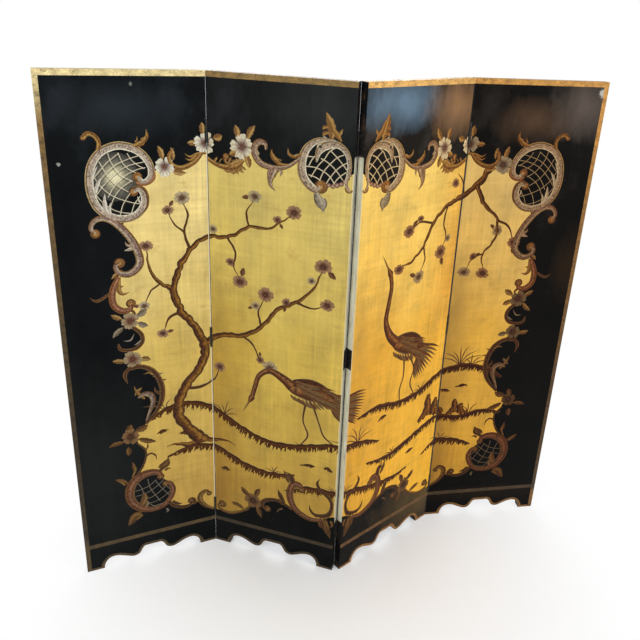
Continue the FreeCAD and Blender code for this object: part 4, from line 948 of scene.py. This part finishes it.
class Nodes:
    """Short ways to add nodes to a tree."""

    def __init__(self, tree):
        self.tree = tree

    def node(self, kind, inputs=(), **values):
        """A new node with its settings and inputs."""
        made = self.tree.nodes.new("ShaderNode" + kind)
        for key, value in values.items():
            setattr(made, key, value)
        for key, value in dict(inputs).items():
            self.put(made.inputs[key], value)
        return made

    def put(self, socket, value):
        """Links an output to a socket, or sets the socket's own value."""
        if isinstance(value, bpy.types.NodeSocket):
            self.tree.links.new(value, socket)
        elif isinstance(value, (tuple, list)) and socket.type == "RGBA":
            socket.default_value = (*linear(value), 1)
        else:
            socket.default_value = value

    def math(self, operation, *values):
        return self.node("Math", dict(enumerate(values)), operation=operation).outputs[0]

    def add(self, a, b):
        return self.math("ADD", a, b)

    def times(self, a, b):
        return self.math("MULTIPLY", a, b)

    def vector(self, operation, *values, output="Vector"):
        return self.node("VectorMath", dict(enumerate(values)), operation=operation).outputs[output]

    def ramp(self, factor, *stops):
        """A colour or a number eased between (place, value) stops."""
        made = self.node("ValToRGB", {"Fac": factor})
        elements = made.color_ramp.elements
        while len(elements) < len(stops):
            elements.new(0.5)
        for element, (place, value) in zip(elements, stops):
            element.position = place
            element.color = (*linear(value), 1) if isinstance(value, tuple) else (value, value, value, 1)
        return made.outputs["Color"]

    def fade(self, value, none, full):
        """A share that runs from none to all between two values."""
        return self.node("MapRange", {"Value": value, "From Min": none, "From Max": full}).outputs[0]

    def mix(self, factor, a, b, blend="MIX"):
        made = self.node("Mix", data_type="RGBA", blend_type=blend)
        for socket, value in zip((made.inputs["Factor"], made.inputs[6], made.inputs[7]), (factor, a, b)):
            self.put(socket, value)
        return made.outputs[2]

    def tinted(self, colour, tint, share=1.0):
        """A colour multiplied by a tint."""
        return self.mix(share, colour, tint, "MULTIPLY")


class Shade(Nodes):
    """A material with places in millimetres: on a panel as u, depth and z, or else in the object's space."""

    def __init__(self, name, panel=None, **sockets):
        self.material = bpy.data.materials.new(name)
        self.material.use_nodes = True
        super().__init__(self.material.node_tree)
        self.surface = self.tree.nodes["Principled BSDF"]
        for socket, value in sockets.items():
            self.put(self.surface.inputs[socket.replace("_", " ")], value)
        self.place = self.node("TexCoord").outputs["Object"]
        scale = (1 / MM, 1 / MM, 1 / MM)
        if panel:
            x, y, heading = PANELS[panel]
            cos, sin = toward(-heading)
            frame_of_panel = {"Location": Vector((-(x * cos - y * sin), -(x * sin + y * cos), 0)),
                              "Rotation": (0, 0, math.radians(-heading)), "Scale": scale}
            self.place = self.node("Mapping", {"Vector": self.place, **frame_of_panel}).outputs["Vector"]
            self.u, self.depth, self.z = self.node("SeparateXYZ", {0: self.place}).outputs
        else:
            self.place = self.vector("MULTIPLY", self.place, scale)

    def noise(self, scale, detail=3.0, rough=0.55):
        """Noise whose period along each axis is one over its scale, in millimetres."""
        scale = scale if isinstance(scale, tuple) else (scale, scale, scale)
        place = self.vector("MULTIPLY", self.place, scale)
        return self.node("TexNoise", {"Vector": place, "Scale": 1.0, "Detail": detail,
                                      "Roughness": rough}).outputs["Fac"]

    def finish(self, colour, rough, bumps):
        """Sets the base colour, the roughness and a bump of a height, a distance and a strength."""
        height, distance, strength = bumps
        bump = self.node("Bump", {"Height": height, "Distance": distance, "Strength": strength})
        self.put(self.surface.inputs["Normal"], bump.outputs["Normal"])
        self.put(self.surface.inputs["Base Color"], colour)
        self.put(self.surface.inputs["Roughness"], rough)
        return self.material

    def roughness(self, smooth, dull, scale, detail=3.0):
        """Roughness that wanders between two values."""
        return self.ramp(self.noise(scale, detail), (0.3, smooth), (0.7, dull))


# Tint over each panel's painted work: aged varnish, and partly painted light and shade, warmer on the
# third panel and darker on the fourth
VARNISH_AND_PAINTED_LIGHT = {1: (250, 248, 240), 2: (240, 232, 214), 3: (252, 226, 184), 4: (214, 186, 150)}


def painted_work(panel):
    """Paint over gesso: the painted colours under a tint of aged varnish and painted light, mottled and
    rubbed.
    """
    s = Shade("painted_relief_%d" % panel, Specular_IOR_Level=0.12)
    paint = s.node("Attribute", attribute_name="Paint").outputs["Color"]
    mottle = s.ramp(s.noise(0.22, 4), (0.3, 0.70), (0.52, 1.0), (0.75, 1.16))
    specks = s.ramp(s.noise(0.55, 2), (0.30, 0.45), (0.38, 1.0))
    # Each panel's tint: aged varnish and partly painted light and shade
    colour = s.tinted(s.tinted(s.tinted(paint, VARNISH_AND_PAINTED_LIGHT[panel]), mottle), specks, 0.6)
    return s.finish(colour, s.roughness(0.46, 0.61, 0.1), (s.noise((0.6, 0.6, 0.35), 4), 0.0004, 0.5))


# Leaf tones of each panel: near the foot, half way up and near the top; partly painted light, as in the
# warmer, brighter third panel and the paler tops
GOLD_TONES_AND_PAINTED_LIGHT = {
    1: ((192, 154, 68), (212, 180, 88), (234, 210, 136)),
    2: ((176, 137, 46), (208, 175, 72), (208, 184, 98)),
    3: ((255, 190, 40), (250, 186, 50), (254, 212, 104)),
    4: ((202, 146, 28), (222, 168, 56), (214, 176, 98)),
}
# Browner stretches of the gold: where each is none and full along u, then along z, and its tint
GOLD_DUSK = {
    1: [],
    2: [((170, 20), (1050, 800), (222, 210, 172))],
    3: [((240, 20), (1050, 800), (232, 226, 210)), ((280, 400), (700, 900), (238, 218, 176))],
    4: [((100, 10), (1050, 800), (204, 200, 192))],
}
# Painted shadow of the crack at some folds, a dark line at the leaf's edge: whether on the right, and
# how broad
FOLD_CRACK_SHADOWS = {1: [], 2: [(False, 2.6)], 3: [(True, 3.4)], 4: [(False, 3.4)]}


def gold_tone(s, panel):
    """The leaf's tone up the panel: brushed, clouded, tarnished, and browner in its dusky stretches."""
    wander = s.math("MULTIPLY_ADD", s.noise(0.006), 500.0, -250.0)
    # The leaf's tone up the panel, partly painted light
    colour = s.ramp(s.math("DIVIDE", s.add(s.z, wander), HEIGHT), *zip((0.12, 0.45, 0.8), GOLD_TONES_AND_PAINTED_LIGHT[panel]))
    cloud = s.ramp(s.noise((0.011, 0.011, 0.008), 6, 0.62), (0.34, 0.80), (0.5, 0.99), (0.66, 1.12))
    upright = s.ramp(s.noise((0.10, 0.1, 0.004), 6, 0.68), (0.34, 0.84), (0.66, 1.12))
    level = s.ramp(s.noise((0.004, 0.1, 0.085), 6, 0.68), (0.34, 0.90), (0.66, 1.08))
    fine = s.ramp(s.noise((0.6, 0.6, 0.5), 4, 0.7), (0.3, 0.94), (0.7, 1.05))
    patch = s.ramp(s.noise((0.007, 0.01, 0.009)), (0.36, 0.25), (0.62, 1.0))
    for layer, amount in ((cloud, 0.9), (upright, patch), (level, patch), (fine, 0.9)):
        colour = s.tinted(colour, layer, amount)
    tarnish = s.ramp(s.noise((0.018, 0.02, 0.024), 7, 0.7), (0.56, 0.0), (0.74, 0.5))
    colour = s.mix(tarnish, colour, (164, 120, 50))
    for breadth, rise, dusk in GOLD_DUSK[panel]:
        across = s.fade(s.add(s.u, s.times(wander, 0.2)), *breadth)
        colour = s.mix(s.times(across, s.fade(s.z, *rise)), colour, s.tinted(colour, dusk))
    return colour


def gold_ground(panel):
    """Aged gold leaf: fine linen-like brushing, cloudy patches, paler edges, painted shadow at some folds."""
    s = Shade("gold_leaf_%d" % panel, panel, Metallic=0.15, Specular_IOR_Level=0.4)
    colour = gold_tone(s, panel)
    ragged = s.times(s.noise((0.08, 0.08, 0.03), 4), 4.0)
    sides = s.u, s.math("SUBTRACT", WIDTH, s.u)
    near = s.math("SUBTRACT", s.math("MINIMUM", *sides), ragged)
    colour = s.mix(s.times(s.fade(near, 1.2, -0.4), 0.6), colour, (232, 218, 178))
    # Painted shadow of the crack along a fold
    for right, breadth in FOLD_CRACK_SHADOWS[panel]:
        rim = s.fade(s.add(sides[right], s.times(ragged, 0.2)), breadth + 0.4, breadth - 0.4)
        colour = s.mix(rim, colour, (26, 24, 20))
    weave = s.add(s.noise((0.9, 0.9, 0.06)), s.noise((0.05, 0.9, 0.9)))
    return s.finish(colour, s.roughness(0.40, 0.58, 0.03, 4), (weave, 0.0005, 0.35))


# Lacquer tones from deep to a painted sheen: the cooler left panels and the warmer right ones,
# partly painted reflection
LACQUER_TONES_AND_SHEEN = {
    1: ((2, 4, 5), (8, 12, 14), (30, 34, 38)),
    2: ((3, 4, 4), (12, 14, 14), (30, 32, 33)),
    3: ((8, 5, 2), (24, 18, 10), (66, 60, 54)),
    4: ((3, 2, 1), (9, 6, 4), (36, 31, 27)),
}
# Painted reflections in the lacquer, as soft clouded places: (u, z), breadth, height and tone
PAINTED_REFLECTIONS = {
    1: [((190, 1430), 170, 80, (34, 40, 45)), ((60, 340), 240, 380, (26, 27, 27))],
    2: [((330, 1450), 170, 100, (36, 38, 38))],
    3: [((130, 1470), 170, 80, (106, 130, 150)), ((350, 1450), 140, 90, (150, 112, 76)),
        ((430, 120), 290, 140, (92, 72, 38))],
    4: [((200, 1410), 140, 70, (78, 58, 42)), ((350, 1450), 120, 100, (90, 79, 72)),
        ((380, 960), 60, 130, (38, 25, 12)), ((200, 80), 260, 36, (26, 16, 6))],
}
# Small chips and rubbed corners: (u, z), radius and tone
CHIPS = {
    1: [((221, 1490), 4, (112, 112, 108)), ((38, 1296), 4.5, (150, 150, 144))],
    4: [((393, 1492), 13, (190, 184, 174))],
}
# Painted shadow of the crack beside the third panel's right fold, a dark strip: where it is none and
# full, and its tone
CRACK_SHADOW_PANEL = 3
CRACK_SHADOW_STRIP = (WIDTH - 4.2, WIDTH - 3.4)
CRACK_SHADOW_TONE = (14, 10, 6)


def reflections_and_chips(s, panel, colour):
    """The lacquer's colour with its painted reflections, as clouded places, and its chips."""
    ragged = s.noise((0.02, 0.02, 0.01), 5, 0.6)
    # Painted reflections in the lacquer, as soft clouded places
    for (u, z), wide, tall, tone in PAINTED_REFLECTIONS[panel]:
        offset = s.vector("MULTIPLY", s.vector("ADD", s.place, (-u, 0, -z)), (1 / wide, 0, 1 / tall))
        away = s.add(s.vector("LENGTH", offset, output="Value"), ragged)
        colour = s.mix(s.fade(away, 1.6, 0.6), colour, tone)
    for (u, z), size, tone in CHIPS.get(panel, ()):
        away = s.vector("LENGTH", s.vector("ADD", s.place, (-u, 0, -z)), output="Value")
        away = s.math("MULTIPLY_ADD", s.noise(0.16, 4, 0.7), -size * 2.4, away)
        colour = s.mix(s.fade(away, 0.0, -size * 0.5), colour, tone)
    return colour


def lacquer(panel):
    """Polished black lacquer: painted sheen growing towards the top, painted reflections, hairline scratches
    and dust.
    """
    s = Shade("black_lacquer_%d" % panel, panel, Specular_IOR_Level=0.07)
    # Painted sheen: the lacquer turns hazier towards the top
    painted_sheen_rise = s.math("MULTIPLY_ADD", s.math("DIVIDE", s.z, HEIGHT), 0.26, -0.16)
    haze_and_sheen = s.add(s.noise((0.008, 0.008, 0.006), 4, 0.6), painted_sheen_rise)
    colour = reflections_and_chips(s, panel, s.ramp(haze_and_sheen, *zip((0.35, 0.6, 0.8), LACQUER_TONES_AND_SHEEN[panel])))
    # Painted shadow of the crack at the third panel's right fold
    if panel == CRACK_SHADOW_PANEL:
        colour = s.mix(s.fade(s.u, *CRACK_SHADOW_STRIP), colour, CRACK_SHADOW_TONE)
    colour = s.mix(s.ramp(s.noise(0.35, 2), (0.76, 0.0), (0.80, 0.7)), colour, (120, 118, 112))
    scratch = s.ramp(s.noise((0.9, 0.9, 0.012), 2), (0.745, 0.0), (0.76, 0.5))
    colour = s.mix(s.times(scratch, s.ramp(haze_and_sheen, (0.5, 0.0), (0.6, 1.0))), colour, (86, 84, 80))
    rough = s.roughness(0.18, 0.36, (0.05, 0.05, 0.012), 4)
    return s.finish(colour, rough, (s.noise((0.03, 0.03, 0.012)), 0.0012, 0.25))


# Gilding of each panel along the top and down the side
GILT_TOPS = {1: (224, 204, 148), 2: (122, 95, 46), 3: (222, 172, 96), 4: (184, 133, 62)}
GILT_SIDES = {1: (128, 100, 56), 2: (140, 106, 54), 3: (236, 160, 66), 4: (180, 126, 54)}
# Share of the side's tone along the scalloped foot and in the band above it
GILT_FEET = {1: (0.62, 0.64), 2: (0.5, 0.38), 3: (0.62, 0.46), 4: (0.66, 0.36)}
# Millimetres over which noise shifts the inner limit of the rubbed rims
RUB_REACH = 26.0
# The silvered stretch of the folded edges: its foot and head, and how far back it runs
SILVERED = (196.0, 1346.0)
SILVERED_DEPTH = 23.0
# Faces within this distance of a panel's side or top belong to its edge
EDGE_FACE = 0.3
EDGE_BLACKS = ((0.35, (8, 9, 11)), (0.6, (17, 18, 20)), (0.75, (36, 37, 39)))
SILVER_LEAF = ((0.3, (168, 162, 136)), (0.5, (208, 204, 180)), (0.7, (230, 226, 206)))


def edge_black(s):
    """Hazy black with hairline scratches, rubbed brown along its rims."""
    black = s.ramp(s.noise((0.01, 0.01, 0.006), 5, 0.62), *EDGE_BLACKS)
    scratch = s.ramp(s.noise((0.8, 0.8, 0.01), 2), (0.72, 0.0), (0.735, 0.45))
    black = s.mix(scratch, black, (66, 66, 66))
    rim = s.math("MINIMUM", s.math("MINIMUM", s.u, s.math("SUBTRACT", WIDTH, s.u)), s.z)
    ragged = s.math("MULTIPLY_ADD", s.noise((0.06, 0.06, 0.03), 6, 0.72), -RUB_REACH, rim)
    rubbed = s.fade(ragged, -0.5 * RUB_REACH, -0.64 * RUB_REACH)
    return s.mix(s.times(rubbed, 0.75), black, (74, 56, 40))


def silvered_zone(s, panel):
    """Where a panel's folded edges are silvered."""
    foot, head = SILVERED
    up = s.add(s.z, s.times(s.noise(0.05), 16.0))
    zone = s.times(s.fade(up, foot - 3, foot + 3), s.fade(up, head + 3, head - 3))
    depth = s.add(s.depth, s.times(s.noise((0.05, 0.05, 0.02)), 3.0))
    zone = s.times(zone, s.math("LESS_THAN", depth, SILVERED_DEPTH))
    sides = []
    if panel > 1:
        sides.append(s.math("LESS_THAN", s.u, EDGE_FACE))
    if panel < 4:
        sides.append(s.math("GREATER_THAN", s.u, WIDTH - EDGE_FACE))
    return s.times(zone, s.math("MAXIMUM", *sides) if len(sides) == 2 else sides[0])


def panel_edges(panel):
    """Black lacquer edges, silvered at the folds and gilt along the top."""
    s = Shade("panel_edges_%d" % panel, panel, Specular_IOR_Level=0.14)
    silver = s.ramp(s.noise((0.09, 0.09, 0.012), 6, 0.7), *SILVER_LEAF)
    colour = s.mix(silvered_zone(s, panel), edge_black(s), silver)
    top = GILT_TOPS[panel]
    duller = tuple(0.9 * c for c in top)
    worn = s.ramp(s.noise(0.05, 6, 0.7), (0.34, (74, 54, 34)), (0.42, duller), (0.7, top))
    colour = s.mix(s.math("GREATER_THAN", s.z, HEIGHT - EDGE_FACE), colour, worn)
    rough = s.roughness(0.30, 0.5, (0.05, 0.05, 0.02))
    return s.finish(colour, rough, (s.noise((0.4, 0.4, 0.05), 4), 0.0006, 0.35))


def gilt(panel):
    """Old bronze gilding: mottled ochre at the top, browner down the side and at the foot."""
    s = Shade("bronze_gilt_%d" % panel, panel, Metallic=0.3, Specular_IOR_Level=0.4)
    rim, foot = GILT_FEET[panel]
    shares = ((0.046, rim), (0.056, foot), (0.07, foot), (0.1, 0.42), (0.33, 0.44), (0.52, 0.6), (0.72, 0.74),
              (0.92, 1.0))
    stops = [(height, tuple(share * c for c in GILT_SIDES[panel])) for height, share in shares]
    base = s.ramp(s.math("DIVIDE", s.z, HEIGHT), *stops, (0.988, GILT_TOPS[panel]))
    streak = s.noise((0.035, 0.05, 0.05), 7, 0.75)
    streak = s.ramp(streak, (0.34, 0.40), (0.46, 0.88), (0.58, 1.22), (0.68, 1.6))
    fine = s.ramp(s.noise(0.25, 4, 0.7), (0.3, 0.72), (0.7, 1.22))
    bare = s.ramp(s.noise((0.08, 0.11, 0.07), 6, 0.75), (0.58, 0.0), (0.66, 0.75))
    colour = s.mix(bare, s.tinted(s.tinted(base, streak), fine), (52, 36, 24))
    return s.finish(colour, s.roughness(0.38, 0.6, 0.1), (s.noise(0.3, 5), 0.0007, 0.45))


def metal(name, dark, worn, rough, metallic):
    """Hinge metal: a dark finish, worn here and there."""
    s = Shade(name, Metallic=metallic, Specular_IOR_Level=0.4)
    wear = s.ramp(s.noise((0.16, 0.16, 0.10), 6, 0.7), (0.54, 0.0), (0.66, 0.8))
    sound = s.ramp(s.noise(0.5), (0.3, dark), (0.7, tuple(c * 1.5 for c in dark)))
    colour = s.mix(wear, sound, worn)
    return s.finish(colour, s.roughness(rough, rough + 0.2, 0.2), (s.noise(0.5, 4), 0.0004, 0.4))


def bare_wood():
    """Softwood of the hidden middle rails."""
    s = Shade("frame_wood", Specular_IOR_Level=0.25)
    grain = s.vector("MULTIPLY", s.place, (0.05, 0.05, 0.004))
    waves = {"Vector": grain, "Scale": 1.0, "Distortion": 6.0, "Detail": 3.0}
    rings = s.node("TexWave", waves).outputs["Fac"]
    colour = s.ramp(rings, (0.2, (150, 112, 72)), (0.8, (188, 150, 104)))
    rough = s.ramp(rings, (0.0, 0.6), (1.0, 0.75))
    return s.finish(colour, rough, (s.noise((0.6, 0.6, 0.03), 4), 0.0005, 0.4))


def dress(owner, parts, material):
    """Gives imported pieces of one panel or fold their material."""
    for part in parts:
        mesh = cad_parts["%s_%s" % (owner, part)].data
        for number in range(max(1, len(mesh.materials))):
            if len(mesh.materials) <= number:
                mesh.materials.append(material)
            mesh.materials[number] = material


EDGED = ("left_stile", "right_stile", "top_rail", "apron_board", "front_skin", "back_skin")
painted = {panel: painted_work(panel) for panel in VARNISH_AND_PAINTED_LIGHT}
hinge_black = metal("hinge_black", (16, 16, 17), (92, 76, 54), 0.34, 0.2)
pin_steel = metal("pin_steel", (60, 58, 56), (130, 124, 116), 0.3, 0.9)
screw_black = metal("screw_black", (20, 19, 19), (104, 92, 72), 0.34, 0.3)
wood = bare_wood()
for panel in PANELS:
    name = "panel_%d" % panel
    dress(name, ["lacquer_ground"], lacquer(panel))
    dress(name, EDGED, panel_edges(panel))
    dress(name, ["middle_rail"], wood)
    dress(name, ["gold_field"], gold_ground(panel))
    dress(name, ["gilt_bands"], gilt(panel))
    border(panel)
picture()
for fold in (1, 2, 3):
    name = "fold_%d" % fold
    dress(name, ["left_leaves", "right_leaves"], hinge_black)
    dress(name, ["pins"], pin_steel)
    dress(name, ["left_screws", "right_screws"], screw_black)


# Camera, floor and light

# Camera's place in metres and its angles in degrees
CAMERA_PLACE = (-0.4705, -1.6560, 1.6709)
CAMERA_YAW = 14.750
CAMERA_PITCH = 20.436
CAMERA_ROLL = 2.697
# Focal length, picture and optical axis in pixels of the photograph, and the sensor in millimetres
FOCAL_PIXELS = 649.7
PHOTO_PIXELS = 640
AXIS_PIXEL = (332.90, 257.15)
SENSOR = 36.0
# Half the floor's side in metres
FLOOR_HALF = 8.0
# Distances from the middle, in millimetres, at which the floor begins to fade and is gone
FLOOR_FADE = (250.0, 950.0)
# Place in metres that every lamp is aimed at
LAMP_TARGET = Vector((0, 0, 0.8))


def place_camera():
    """The camera at the photograph's point of view."""
    yaw, pitch, roll = (math.radians(angle) for angle in (CAMERA_YAW, CAMERA_PITCH, CAMERA_ROLL))
    ahead = Vector((math.sin(yaw) * math.cos(pitch), math.cos(yaw) * math.cos(pitch), -math.sin(pitch)))
    level = Vector((math.cos(yaw), -math.sin(yaw), 0))
    above = level.cross(ahead)
    right = level * math.cos(roll) + above * math.sin(roll)
    up = above * math.cos(roll) - level * math.sin(roll)
    camera = scene_object("camera", bpy.data.cameras.new("camera"))
    turn = Matrix((right, up, -ahead)).transposed()
    camera.matrix_world = Matrix.Translation(CAMERA_PLACE) @ turn.to_4x4()
    camera.data.sensor_width = SENSOR
    camera.data.lens = FOCAL_PIXELS / PHOTO_PIXELS * SENSOR
    camera.data.shift_x = (PHOTO_PIXELS / 2 - AXIS_PIXEL[0]) / PHOTO_PIXELS
    camera.data.shift_y = (AXIS_PIXEL[1] - PHOTO_PIXELS / 2) / PHOTO_PIXELS
    camera.data.clip_start = 0.01
    bpy.context.scene.camera = camera


def lamp(name, place, size, power, colour):
    """A soft rectangular lamp aimed at the middle of the object."""
    light = bpy.data.lights.new(name, "AREA")
    light.shape = "RECTANGLE"
    light.size, light.size_y = size
    light.energy = power
    light.color = colour
    made = scene_object(name, light)
    made.location = place
    made.rotation_euler = (LAMP_TARGET - Vector(place)).to_track_quat("-Z", "Y").to_euler()


def pale_floor():
    """A pale floor that keeps the object's shadow and fades into the white background."""
    mesh = bpy.data.meshes.new("floor")
    corners = [(x * FLOOR_HALF, y * FLOOR_HALF, 0) for x, y in ((-1, -1), (1, -1), (1, 1), (-1, 1))]
    mesh.from_pydata(corners, [], [(0, 1, 2, 3)])
    floor = scene_object("floor", mesh)
    s = Shade("floor", Roughness=0.9, Specular_IOR_Level=0.1, Emission_Color=(255, 255, 255))
    paint = s.ramp(s.noise(0.0008, 4), (0.3, (247, 247, 247)), (0.7, (251, 251, 251)))
    s.put(s.surface.inputs["Base Color"], paint)
    seen = s.node("LightPath").outputs["Is Camera Ray"]
    s.put(s.surface.inputs["Emission Strength"], s.times(seen, 0.1))
    fade = s.fade(s.vector("LENGTH", s.place, output="Value"), *FLOOR_FADE)
    clear = s.node("BsdfTransparent").outputs[0]
    mixed = s.node("MixShader", {0: fade, 1: s.surface.outputs[0], 2: clear}).outputs[0]
    s.put(s.tree.nodes["Material Output"].inputs["Surface"], mixed)
    mesh.materials.append(s.material)


def studio():
    """Even world light, seen as white by the camera and in reflections."""
    world = bpy.data.worlds.new("studio")
    bpy.context.scene.world = world
    world.use_nodes = True
    w = Nodes(world.node_tree)
    ambient = w.tree.nodes["Background"]
    ambient.inputs["Color"].default_value = (0.97, 0.98, 1.0, 1)
    ambient.inputs["Strength"].default_value = 0.55
    white = w.node("Background", {"Color": (255, 255, 255), "Strength": 1.0})
    rays = w.node("LightPath").outputs
    seen = w.math("MAXIMUM", rays["Is Camera Ray"], rays["Is Glossy Ray"])
    seen = w.math("MAXIMUM", seen, rays["Is Transmission Ray"])
    mixed = w.node("MixShader", {0: seen, 1: ambient.outputs[0], 2: white.outputs[0]}).outputs[0]
    w.put(w.tree.nodes["World Output"].inputs["Surface"], mixed)


place_camera()
pale_floor()
studio()
lamp("window", (-2.6, -2.6, 2.4), (1.8, 2.2), 62, (0.95, 0.98, 1.0))
lamp("fill", (2.6, -2.4, 2.0), (1.6, 2.0), 40, (1.0, 0.95, 0.87))
lamp("back", (0.6, 3.0, 2.6), (2.0, 1.6), 36, (1.0, 1.0, 1.0))
bpy.context.scene.view_settings.view_transform = "Standard"
